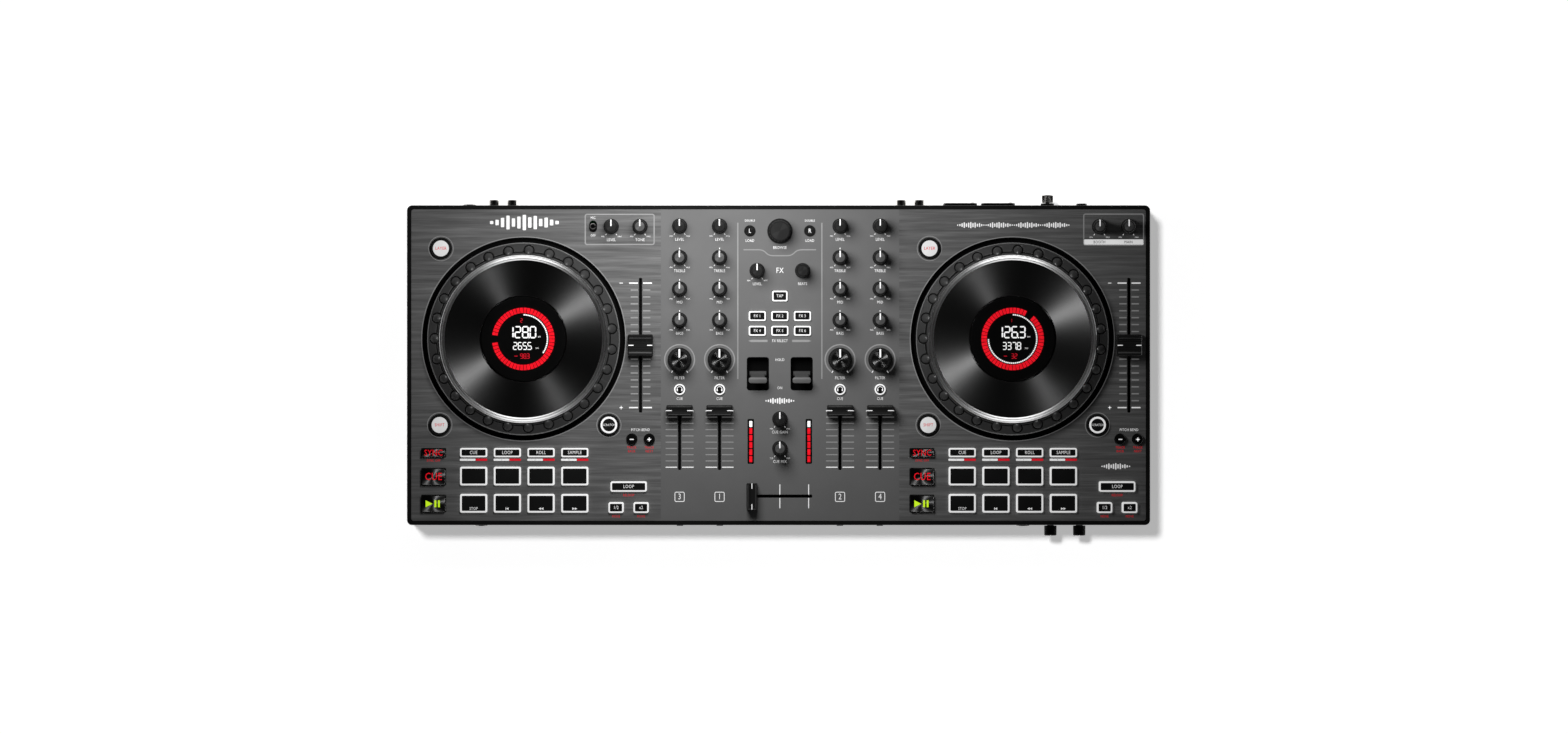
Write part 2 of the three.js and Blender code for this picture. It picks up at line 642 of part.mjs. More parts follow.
// A fader cap on the stem that runs in the slot. The finger groove runs along X, or along Y
// for a cap that is held from both sides.
function faderCap({ width, depth, height }, grooveAlongY = false) {
  const base = PANEL_TOP + CAP_CLEARANCE;
  const top = base + height;
  const groove = grooveAlongY
    ? block(0, 0, width * 0.36, depth, top - CAP_GROOVE, top + 1)
    : block(0, 0, width, depth * 0.3, top - CAP_GROOVE, top + 1);
  const stem = block(
    0, 0, STEM.thickness, STEM.length, CONTROL_BODY_TOP + STEM.clearance, base + 1,
  );
  return joined(cut(tapered(0, 0, width, depth, base, top, CAP_TAPER), groove), stem);
}

function crossfaderCap() {
  return faderCap(FADER_CAP).rotate([0, 0, 90]);
}

// Pivot barrel, lever and wide tip, leaning towards the user at rest.
function effectPaddle() {
  const { width, thickness, length, barrelRadius, barrelLength } = LEVER;
  const barrel = new THREE.CylinderGeometry(barrelRadius, barrelRadius, barrelLength, MEDIUM);
  barrel.rotateZ(Math.PI / 2);
  const lever = new THREE.BoxGeometry(width, thickness, length);
  lever.translate(0, 0, length / 2);
  const tip = new THREE.BoxGeometry(LEVER_TIP.width, LEVER_TIP.depth, LEVER_TIP.height);
  tip.translate(0, 0, LEVER_TIP.centre);
  const lean = THREE.MathUtils.degToRad(PADDLE.restLean);
  lever.rotateX(lean);
  tip.rotateX(lean);
  return joined(solid(barrel), solid(lever), solid(tip));
}

function toggleLever() {
  const { ballRadius, neckRadius, tipRadius, height } = TOGGLE;
  const bat = turned([
    [0, -1], [neckRadius, -1], [neckRadius, 5], [tipRadius, 10], [tipRadius - 0.2, 11.2], [0, height],
  ], MEDIUM);
  const ball = solid(new THREE.SphereGeometry(ballRadius, MEDIUM, COARSE));
  return joined(ball, bat);
}

// ---------------------------------------------------------------- keys

function keyCap({ x, y, radius, width, depth }, bottom, top) {
  if (radius) {
    return upright(x, y, radius - KEY_CLEARANCE, bottom, top, MEDIUM);
  }
  const shrink = 2 * KEY_CLEARANCE;
  return block(x, y, width - shrink, depth - shrink, bottom, top);
}

// Four mode keys and eight pads on one sheet.
function padMoulding() {
  const width = padColumns[3] - padColumns[0] + PAD_SIZE.width;
  const middle = (padColumns[0] + padColumns[3]) / 2;
  const { bottom, top } = PAD_CARRIER;
  const sheet = block(middle, -109, width, 51.6, bottom, top);
  const caps = [...pads, ...modeKeys].map((pad) => keyCap(pad, top - 0.5, PAD_TOP));
  return joined(sheet, ...caps);
}

// Round, transport and loop keys on a frame of three bars that passes below the jog well.
function keyMoulding() {
  const { bottom, top } = KEY_CARRIER;
  const bars = [
    block(-66, -31.5, 8, 205, bottom, top),     // below the layer, shift and transport keys
    block(80.9, -98, 8, 72, bottom, top),       // below the loop keys
    block(8, -96.6, 150, 6, bottom, top),       // between the two
    block(74, -66.3, 18, 6, bottom, top),       // to the scratch key
    block(89, -77.4, 18, 6, bottom, top),       // to the pitch bend keys
  ];
  const keys = [...roundKeys, ...transportKeys, ...loopKeys].map(
    (key) => keyCap(key, bottom, KEY_TOP),
  );
  return joined(...bars, ...keys);
}

// Cue, load, tap and effect keys on a spine that runs between the knobs.
function mixerKeyMoulding() {
  const { bottom, top } = PAD_CARRIER;
  const bars = [
    block(0, 33, 5, 118, bottom, top),          // spine
    block(0, -24, 162, 4, bottom, top),         // to the cue keys
    block(0, 90, 52, 4, bottom, top),           // to the load keys
    block(0, 37.9, 46, 5, bottom, top),         // to both rows of effect keys
    block(0, 26.5, 46, 5, bottom, top),
    ...loadKeys.map(({ x }) => block(x, 96, 5, 14, bottom, top)),
    ...cueKeys.map(({ x }) => block(x, -21.5, 5, 6, bottom, top)),
  ];
  const keys = [...effectKeys, tapKey, ...cueKeys, ...loadKeys].map(
    (key) => keyCap(key, bottom, PAD_TOP),
  );
  return joined(...bars, ...keys);
}

// ---------------------------------------------------------------- assembly

function addCase() {
  place(controller, 'bottom_case', bottomCase(), finishes.case());
  place(controller, 'top_shell', topShell(), finishes.case());
  place(controller, 'face_plate', facePlate(), finishes.panel());
  place(controller, 'main_board', mainBoard(), finishes.board());
  place(controller, 'rear_jack_board', rearJackBoard(), finishes.sockets());
  place(controller, 'front_jack_board', frontJackBoard(), finishes.sockets()).rotation.z = Math.PI;
  const corners = { front_left: [-1, -1], front_right: [1, -1], rear_left: [-1, 1], rear_right: [1, 1] };
  for (const [corner, [sx, sy]] of Object.entries(corners)) {
    place(controller, `foot_${corner}`, foot(), finishes.rubber(), sx * FOOT_X, sy * FOOT_Y);
  }
}

function addDeck(side) {
  const deck = new THREE.Group();
  deck.position.set(DECK_X[side], DECK_Y, 0);
  place(deck, `${side}_jog_display`, jogDisplay(), finishes.display());
  place(deck, `${side}_jog_wheel`, jogWheel(), finishes.jog());
  place(deck, `${side}_pitch_fader`, faderCap(PITCH_CAP), finishes.cap(), PITCH.x, PITCH.y);
  place(deck, `${side}_pads`, padMoulding(), finishes.pad());
  place(deck, `${side}_keys`, keyMoulding(), finishes.key());
  controller.add(deck);
}

function addMixer() {
  const mixer = new THREE.Group();
  mixer.position.x = MIXER_X;
  for (const knob of [...channelKnobs, ...centreKnobs]) {
    place(mixer, knob.name, knobBody(knob), finishes.knob(), knob.x, knob.y);
  }
  for (const channel of CHANNELS) {
    const name = `channel_${channel}_fader`;
    place(mixer, name, faderCap(FADER_CAP, true), finishes.cap(), COLUMNS[channel], FADER.top);
  }
  place(mixer, 'crossfader', crossfaderCap(), finishes.cap(), CROSSFADER.left, CROSSFADER.y);
  for (const [name, sign] of [['left_effect_paddle', -1], ['right_effect_paddle', 1]]) {
    const x = sign * PADDLE.x;
    place(mixer, name, effectPaddle(), finishes.paddle(), x, PADDLE.y, PADDLE.pivotZ);
  }
  place(mixer, 'mixer_keys', mixerKeyMoulding(), finishes.key());
  controller.add(mixer);
}

function addCornerControls() {
  for (const knob of cornerKnobs) {
    place(controller, knob.name, knobBody(knob), finishes.knob(), knob.x, knob.y);
  }
  const { x, y } = MIC_TOGGLE;
  place(controller, 'mic_toggle', toggleLever(), finishes.toggle(), x, y, TOGGLE.pivotZ);
  const frontNames = ['headphone_gain_knob', 'headphone_mix_knob'];
  FRONT.knobs.forEach((x, i) => {
    const knob = place(controller, frontNames[i], frontKnob(), finishes.knob(), x, 0, SOCKET_Z);
    knob.rotation.z = Math.PI;
  });
}

addCase();
SIDES.forEach(addDeck);
addMixer();
addCornerControls();

export default controller;
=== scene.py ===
import json
import math

import bmesh
import bpy
from mathutils import Matrix, Vector
from mathutils.geometry import delaunay_2d_cdt

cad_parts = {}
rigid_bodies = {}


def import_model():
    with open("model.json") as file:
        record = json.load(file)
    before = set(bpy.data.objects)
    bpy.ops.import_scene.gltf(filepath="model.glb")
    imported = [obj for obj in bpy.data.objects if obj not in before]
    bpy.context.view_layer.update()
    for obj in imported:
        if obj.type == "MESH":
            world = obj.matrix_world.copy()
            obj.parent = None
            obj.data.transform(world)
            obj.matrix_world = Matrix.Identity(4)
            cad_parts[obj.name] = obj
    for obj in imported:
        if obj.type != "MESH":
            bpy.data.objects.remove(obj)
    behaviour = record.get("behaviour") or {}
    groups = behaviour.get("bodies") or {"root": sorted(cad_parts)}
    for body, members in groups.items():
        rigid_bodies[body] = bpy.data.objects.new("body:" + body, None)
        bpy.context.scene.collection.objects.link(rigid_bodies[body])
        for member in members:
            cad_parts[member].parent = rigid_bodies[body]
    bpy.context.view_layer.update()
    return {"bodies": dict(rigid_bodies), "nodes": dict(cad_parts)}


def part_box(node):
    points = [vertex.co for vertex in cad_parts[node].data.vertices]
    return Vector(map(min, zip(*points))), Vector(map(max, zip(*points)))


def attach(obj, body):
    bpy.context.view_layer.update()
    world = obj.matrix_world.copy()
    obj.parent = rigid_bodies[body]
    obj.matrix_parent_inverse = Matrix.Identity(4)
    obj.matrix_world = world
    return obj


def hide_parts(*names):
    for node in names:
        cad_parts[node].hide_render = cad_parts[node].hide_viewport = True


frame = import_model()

MM = 0.001
CHASSIS = "chassis"


def turned_about(axis, degrees):
    return Matrix.Rotation(math.radians(degrees), 3, axis)


NO_TURN = Matrix.Identity(3)
TO_REAR = turned_about("X", -90)     # turns a shape's +Z to face +Y
TO_FRONT = turned_about("X", 90)     # turns a shape's +Z to face -Y
QUARTER = turned_about("Z", 90)
SMOOTH_BELOW = 35                    # edges that turn more than this many degrees stay crisp

# ---------------------------------------------------------------- shapes, in millimetres


class Shape:
    """The solids of one piece, placed from its own origin, with a finish for each face."""

    def __init__(self, x=0.0, y=0.0, z=0.0, turn=NO_TURN):
        self.vertices, self.faces, self.indices = [], [], []
        self.origin, self.turn = Vector((x, y, z)), turn

    def add(self, solid, x=0.0, y=0.0, z=0.0, finish=0, turn=NO_TURN):
        vertices, faces = solid
        start = len(self.vertices)
        place = self.origin + self.turn @ Vector((x, y, z))
        turn = self.turn @ turn
        self.vertices += [turn @ Vector(v) + place for v in vertices]
        self.faces += [[start + i for i in face] for face in faces]
        self.indices += [finish] * len(faces)


def circle(radius, count):
    steps = [math.tau * i / count for i in range(count)]
    return [(radius * math.cos(a), radius * math.sin(a)) for a in steps]


def arc(radius, start, end, steps=48):
    """Points on a circle, in degrees clockwise from the rear."""
    angles = [math.radians(start + (end - start) * i / steps) for i in range(steps + 1)]
    return [(radius * math.sin(a), radius * math.cos(a)) for a in angles]


def rounded(width, depth, radius, steps=6):
    """A rectangle with round corners, counter-clockwise, centred on the origin."""
    radius = max(min(radius, width / 2, depth / 2), 0.01)
    points = []
    for quarter in range(4):
        corner_x = (width / 2 - radius) * (1 if quarter in (0, 3) else -1)
        corner_y = (depth / 2 - radius) * (1 if quarter in (0, 1) else -1)
        for i in range(steps + 1):
            angle = math.pi / 2 * (quarter + i / steps)
            points.append((corner_x + radius * math.cos(angle), corner_y + radius * math.sin(angle)))
    return points


def softened(path, radius, steps=3):
    """The path with each inner corner rounded off."""
    points = [Vector(path[0])]
    for before, corner, after in zip(path, path[1:], path[2:]):
        corner = Vector(corner)
        back, on = Vector(before) - corner, Vector(after) - corner
        start = corner + back.normalized() * min(radius, back.length * 0.45)
        end = corner + on.normalized() * min(radius, on.length * 0.45)
        for i in range(steps + 1):
            t = i / steps
            points.append(start * (1 - t) ** 2 + corner * 2 * t * (1 - t) + end * t ** 2)
    return points + [Vector(path[-1])]


def loft(rings, closed=False):
    """A solid through rings of equal count: ends capped, or joined to each other if closed."""
    count = len(rings[0])
    vertices = [tuple(point) for ring in rings for point in ring]
    pairs = list(zip(range(len(rings)), range(1, len(rings))))
    if closed:
        pairs.append((len(rings) - 1, 0))
    faces = []
    for low, high in pairs:
        for i in range(count):
            j = (i + 1) % count
            faces.append([low * count + i, low * count + j, high * count + j, high * count + i])
    if not closed:
        faces.append(list(reversed(range(count))))
        faces.append([(len(rings) - 1) * count + i for i in range(count)])
    return vertices, faces


def stacked(sections, closed=False):
    """A solid through level outlines, given as (outline, height)."""
    return loft([[(x, y, height) for x, y in outline] for outline, height in sections], closed)


def prism(outline, bottom, top):
    return stacked([(outline, bottom), (outline, top)])


def lathe(profile, facets=48, closed=False, flutes=None):
    """A solid turned about Z from (radius, height) points. flutes is (count, depth, low, high)."""
    rings = []
    for radius, height in profile:
        ring = []
        for x, y in circle(1, facets):
            reach = max(radius, 0.01)
            if flutes and flutes[2] <= height <= flutes[3]:
                reach -= flutes[1] * (0.5 + 0.5 * math.cos(flutes[0] * math.atan2(y, x)))
            ring.append((reach * x, reach * y, height))
        rings.append(ring)
    return loft(rings, closed)


def button(radius, bottom, top, edge, facets):
    """A plain round block with softened corners."""
    return lathe(softened([(0, bottom), (radius, bottom), (radius, top), (0, top)], edge), facets)


def slab(width, depth, bottom, top, radius, edge, crown=0.0, taper=0.0):
    """A rounded block with a softened rim all round the top and the bottom."""
    steps = 3
    sections = [(edge * 0.5, bottom), (0, bottom + edge * 0.5)]
    for i in range(steps + 1):
        angle = math.pi / 2 * i / steps
        height = top - crown - edge * (1 - math.sin(angle))
        sections.append((taper + edge * (1 - math.cos(angle)), height))
    if crown:
        reach = min(width, depth) / 2 - edge - taper
        for share in (0.25, 0.5, 0.75, 0.97):
            sections.append((taper + edge + reach * share, top - crown * (1 - share) ** 2))
    return stacked([(rounded(width - 2 * inset, depth - 2 * inset, radius - inset), height)
                    for inset, height in sections])


def band(path, width, bottom, top, closed=False):
    """A flat ribbon of that width along a path in plan."""
    points = [Vector(p) for p in path]
    count = len(points)
    sections = []
    for i, point in enumerate(points):
        before = points[i - 1] if closed or i else point
        after = points[(i + 1) % count] if closed or i + 1 < count else point
        along = (after - before).normalized()
        side = Vector((-along.y, along.x)) * width / 2
        outer, inner = point + side, point - side
        sections.append([(*outer, bottom), (*inner, bottom), (*inner, top), (*outer, top)])
    return loft(sections, closed)


LETTER_SCALE = 1.4      # font size over the height of a capital
LETTER_SPACING = 1.08
LETTER_WIDTH = 0.82     # letters are narrowed to this share


def lettering(words, size, bottom, top):
    """Letters as a thin solid, centred on the origin. size is the height of a capital."""
    curve = bpy.data.curves.new("lettering", "FONT")
    curve.body = words
    curve.size = size * LETTER_SCALE
    curve.space_character = LETTER_SPACING
    curve.extrude = (top - bottom) / 2
    curve.resolution_u = 2
    curve.align_x = "CENTER"
    curve.align_y = "CENTER"
    holder = bpy.data.objects.new("lettering", curve)
    mesh = bpy.data.meshes.new_from_object(holder)
    middle = (bottom + top) / 2
    vertices = [(v.co.x * LETTER_WIDTH, v.co.y, v.co.z + middle) for v in mesh.vertices]
    faces = [list(polygon.vertices) for polygon in mesh.polygons]
    bpy.data.objects.remove(holder)
    bpy.data.curves.remove(curve)
    bpy.data.meshes.remove(mesh)
    return vertices, faces


def mesh_of(name, shape):
    """A Blender mesh in metres, its faces turned outwards."""
    mesh = bpy.data.meshes.new(name)
    mesh.from_pydata([Vector(v) * MM for v in shape.vertices], [], shape.faces)
    mesh.polygons.foreach_set("material_index", shape.indices)
    work = bmesh.new()
    work.from_mesh(mesh)
    bmesh.ops.recalc_face_normals(work, faces=work.faces)
    work.to_mesh(mesh)
    work.free()
    return mesh


def shown(name, data):
    obj = bpy.data.objects.new(name, data)
    bpy.context.scene.collection.objects.link(obj)
    return obj


def piece(name, shape, finishes, node=None, sharp=SMOOTH_BELOW):
    """One Blender object that stands for a CAD node and rides on that node's body."""
    mesh = mesh_of(name, shape)
    for finish in finishes.split():
        mesh.materials.append(FINISHES[finish])
    if sharp:
        mesh.polygons.foreach_set("use_smooth", [True] * len(mesh.polygons))
        mesh.set_sharp_from_angle(angle=math.radians(sharp))
    obj = shown(name, mesh)
    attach(obj, node if node in frame["bodies"] else CHASSIS)
    if node:
        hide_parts(node)
    return obj


# ---------------------------------------------------------------- places, from the frame


def low_corner(node):
    return Vector(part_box(node)[0]) / MM


def high_corner(node):
    return Vector(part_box(node)[1]) / MM


def centre(node):
    return (low_corner(node) + high_corner(node)) / 2


def half_width(node):
    """Half the wider side in plan: a knob's radius, whichever way its facets lie."""
    size = high_corner(node) - low_corner(node)
    return max(size.x, size.y) / 2


SIDES = ("left", "right")
BOTH_WAYS = (-1, 1)
CHANNELS = ("3", "1", "2", "4")
CASE_LOW, CASE_HIGH = low_corner("bottom_case"), high_corner("bottom_case")
CASE_WIDTH, CASE_DEPTH = CASE_HIGH.x - CASE_LOW.x, CASE_HIGH.y - CASE_LOW.y
CASE_CORNER, WALL = 4, 3
SHELL_BOTTOM, RIM_TOP = low_corner("top_shell").z, high_corner("top_shell").z
RIM_WIDTH, LEDGE_WIDTH, LEDGE_TOP = 2.8, 5.0, 47.7
PANEL_LOW, PANEL_HIGH = low_corner("face_plate"), high_corner("face_plate")
PANEL_BOTTOM, PANEL_TOP = PANEL_LOW.z, PANEL_HIGH.z
PRINT_BOTTOM, PRINT_TOP = PANEL_TOP - 0.03, PANEL_TOP + 0.05
DECKS = {side: centre(f"{side}_jog_wheel") for side in SIDES}
MIXER_X = centre("browse_encoder").x
MIXER_EDGES = (-90.7, 93.0)
COLUMNS = {name: centre(f"channel_{name}_fader").x for name in CHANNELS}
SOCKET_Z = centre("headphone_gain_knob").z
PAD_TOP, KEY_TOP = high_corner("left_pads").z, high_corner("left_keys").z

# Placed from each deck's centre. Keys are (x, y, width, depth).
WELL_RADIUS, PANEL_WELL_RADIUS = 77.3, 78.2
PITCH_X, PITCH_Y, PITCH_TRAVEL, PITCH_SLOT = 90.05, -4.9, 48, (2.4, 103.8)
LAYER_KEY, SHIFT_KEY, SCRATCH_KEY = (-63.8, 69.8), (-64.8, -66.3), (65.7, -66.3)
BEND_KEYS = ((83.3, -77.4), (96.8, -77.4))
ROUND_KEY_RADIUS, BEND_KEY_RADIUS = 8.3, 4.35
TRANSPORT_KEYS = {"sync": (-69.5, -87.9, 19.2, 7.3), "cue": (-69.5, -106.3, 19.2, 13.4),
                  "play": (-69.5, -127, 19.2, 13.6)}
LOOP_KEYS = {"LOOP": (80.9, -113.8, 28.6, 8.6), "1/2": (71.2, -130, 12.4, 8.9),
             "x2": (90.5, -130, 12.4, 8.9)}
PAD_COLUMNS = [-38.6 + 26 * i for i in range(4)]
PAD_ROWS, PAD_SIZE = (-105.7, -126.7), (21.6, 15.1)
MODE_ROW, MODE_SIZE = -87.6, (21.6, 7.8)
KEY_CLEARANCE = 0.3

# Placed from the mixer's middle line
KNOB_ROWS = {"level": 107.2, "high": 83, "mid": 58.8, "low": 34.8}
FILTER_Y, EFFECT_KNOB_X, EFFECT_KNOB_Y = 4.3, 17.5, 72.9
CUE_KEY_Y, CUE_KEY_RADIUS = -18.7, 4.6
LOAD_KEYS, LOAD_KEY_RADIUS = ((-23.1, 103.5), (23.1, 103.5)), 4.3
EFFECT_KEYS = [(x, y, 13.9, 8.3) for y in (37.9, 26.5) for x in (-17.4, 0, 17.4)]
TAP_KEY = (0, 53.3, 12.6, 8.9)
FADER_TOP, FADER_BOTTOM, SLOT_WIDTH = -32.4, -80.9, 2.3
CROSS_Y, CROSS_LEFT, CROSS_RIGHT = -101.1, -24, 25
PADDLE_X, PADDLE_Y, PADDLE_SIZE = 16.9, -6.7, (17, 25.6)
METER_X, METER_Y, METER_SIZE = 22.4, -58.9, (4.8, 34.5)
SHAFT_HOLE = 4

# Placed from the middle of the case
MIC_TOGGLE = centre("mic_toggle")
MIC_BOX, MAIN_BOX = (-122.5, 104.7, 53.1, 23.2), (258.4, 104.6, 46.1, 23.8)
MIC_SOCKET_X, AUX_X, BOOTH_X, XLR_XS = -239.1, -213, 101.8, (140.3, 169.6)
EARTH_X, USB_X, POWER_X = 208, 221.3, 234.4
HEADPHONE_XS, HEADPHONE_KNOBS = (-229.8, 188.9), ("headphone_gain_knob", "headphone_mix_knob")
PHONO_SPACING = 14.2
BOARD_TOP, COMPONENT_BOTTOM = 11.5, 34.7

# ---------------------------------------------------------------- materials


class Nodes:
    """Adds nodes to a material or a world. An input is a plain value or another node's output."""

    def __init__(self, owner):
        owner.use_nodes = True
        self.tree = owner.node_tree

    def feed(self, node, inputs):
        for name, value in inputs.items():
            if isinstance(value, bpy.types.NodeSocket):
                self.tree.links.new(value, node.inputs[name])
            else:
                node.inputs[name].default_value = value

    def add(self, kind, output, inputs, **settings):
        node = self.tree.nodes.new(f"ShaderNode{kind}")
        for name, value in settings.items():
            setattr(node, name, value)
        self.feed(node, inputs)
        return node.outputs[output]

    def axis(self, name, coordinates="Object"):
        place = self.add("TexCoord", coordinates, {})
        return self.add("SeparateXYZ", name, {"Vector": place})

    def noise(self, scale, stretch=(1, 1, 1), detail=3.0):
        """A noise pattern in the frame's metres."""
        place = self.add("TexCoord", "Object", {})
        place = self.add("Mapping", "Vector", {"Vector": place, "Scale": stretch})
        return self.add("TexNoise", "Fac", {"Vector": place, "Scale": scale, "Detail": detail})

    def calculate(self, operation, *values):
        return self.add("Math", "Value", dict(enumerate(values)), operation=operation)

    def ramp(self, factor, *stops):
        node = self.tree.nodes.new("ShaderNodeValToRGB")
        elements = node.color_ramp.elements
        for element, stop in zip(elements, (stops[0], stops[-1])):
            element.position, element.color = stop
        for position, colour in stops[1:-1]:
            elements.new(position).color = colour
        self.feed(node, {"Fac": factor})
        return node.outputs["Color"]

    def between(self, factor, low, high):
        return self.add("MapRange", "Result", {"Value": factor, "To Min": low, "To Max": high})

    def mix(self, factor, first, second, blend="MIX"):
        inputs = {"Factor": factor, 6: first, 7: second}
        return self.add("Mix", 2, inputs, data_type="RGBA", blend_type=blend)

    def bump(self, height, strength, distance):
        inputs = {"Height": height, "Strength": strength, "Distance": distance * MM}
        return self.add("Bump", "Normal", inputs)


def grey(value, tint=(1, 1, 1)):
    return (value * tint[0], value * tint[1], value * tint[2], 1)


def shaded(colour, factor):
    return tuple(min(channel * factor, 1) for channel in colour[:3]) + (1,)


def new_material(name):
    material = bpy.data.materials.new(name)
    nodes = Nodes(material)
    return material, nodes, nodes.tree.nodes["Principled BSDF"]


def surface(name, colour, roughness, metallic=0.0, spread=0.15, blotch=45.0, grain=1400.0,
            bump=0.15, wear=0.0, specular=0.5, anisotropy=0.0, coat=0.0, glow=0.0):
    """A finish with colour drift, micro-roughness, fine grain and, on edges, wear."""
    material, nodes, shader = new_material(name)
    fine = nodes.noise(grain, detail=2.0)
    base = nodes.ramp(nodes.noise(blotch), (0.3, shaded(colour, 1 - spread)),
                      (0.7, shaded(colour, 1 + spread)))
    if wear:
        edges = nodes.add("NewGeometry", "Pointiness", {})
        rubbed = nodes.ramp(edges, (0.53, grey(0)), (0.62, grey(wear)))
        base = nodes.mix(rubbed, base, shaded(colour, 3.5))
    rough = nodes.between(fine, max(roughness - 0.07, 0.03), min(roughness + 0.07, 1))
    nodes.feed(shader, {"Base Color": base, "Roughness": rough, "Metallic": metallic,
                        "Specular IOR Level": specular, "Coat Weight": coat, "Coat Roughness": 0.08})
    if bump:
        nodes.feed(shader, {"Normal": nodes.bump(fine, bump, 0.05)})
    if anisotropy:
        round_z = nodes.add("Tangent", "Tangent", {}, direction_type="RADIAL", axis="Z")
        nodes.feed(shader, {"Anisotropic": anisotropy, "Tangent": round_z})
    # emission in the finish's own colour: painted light on print and pale plastic, and the lamp light of
    # the lit display and key marks
    if glow:
        nodes.feed(shader, {"Emission Strength": glow, "Emission Color": base})
    return material


def panel_finish():
    """Brushed gunmetal over the decks and a smooth matte grey between the mixer's edges."""
    material, nodes, shader = new_material("panel_finish")
    across = nodes.axis("X")
    left, right = (edge * MM for edge in MIXER_EDGES)
    mixer = nodes.calculate("MULTIPLY", nodes.calculate("GREATER_THAN", across, left),
                       nodes.calculate("LESS_THAN", across, right))
    broad = nodes.between(nodes.noise(1, (14, 330, 1), 5.0), -0.05, 0.6)
    fine = nodes.noise(1, (40, 2600, 1), 3.0)
    streaks = nodes.calculate("MULTIPLY_ADD", fine, 0.45, broad)
    brushed = nodes.ramp(streaks, (0.3, grey(0.11)), (0.5, grey(0.18)), (0.72, grey(0.29)))
    smooth = nodes.ramp(nodes.noise(30), (0.3, grey(0.18)), (0.7, grey(0.195)))
    nodes.feed(shader, {
        "Base Color": nodes.mix(mixer, brushed, smooth),
        "Metallic": nodes.between(mixer, 0.18, 0.1),
        "Roughness": nodes.between(fine, 0.4, 0.56),
        "Normal": nodes.bump(fine, 0.25, 0.02),
        "Specular IOR Level": 0.35,
    })
    return material


def board_finish():
    """Green board with tracks below the level where its component bodies start."""
    material, nodes, shader = new_material("board_finish")
    raised = nodes.calculate("GREATER_THAN", nodes.axis("Z"), COMPONENT_BOTTOM * MM)
    tracks = nodes.noise(500, detail=0.0)
    green = nodes.ramp(tracks, (0.48, (0.004, 0.05, 0.016, 1)), (0.52, (0.01, 0.09, 0.03, 1)))
    black = nodes.ramp(nodes.noise(900), (0.3, grey(0.008)), (0.7, grey(0.014)))
    nodes.feed(shader, {"Base Color": nodes.mix(raised, green, black),
                        "Roughness": nodes.between(tracks, 0.4, 0.6)})
    return material


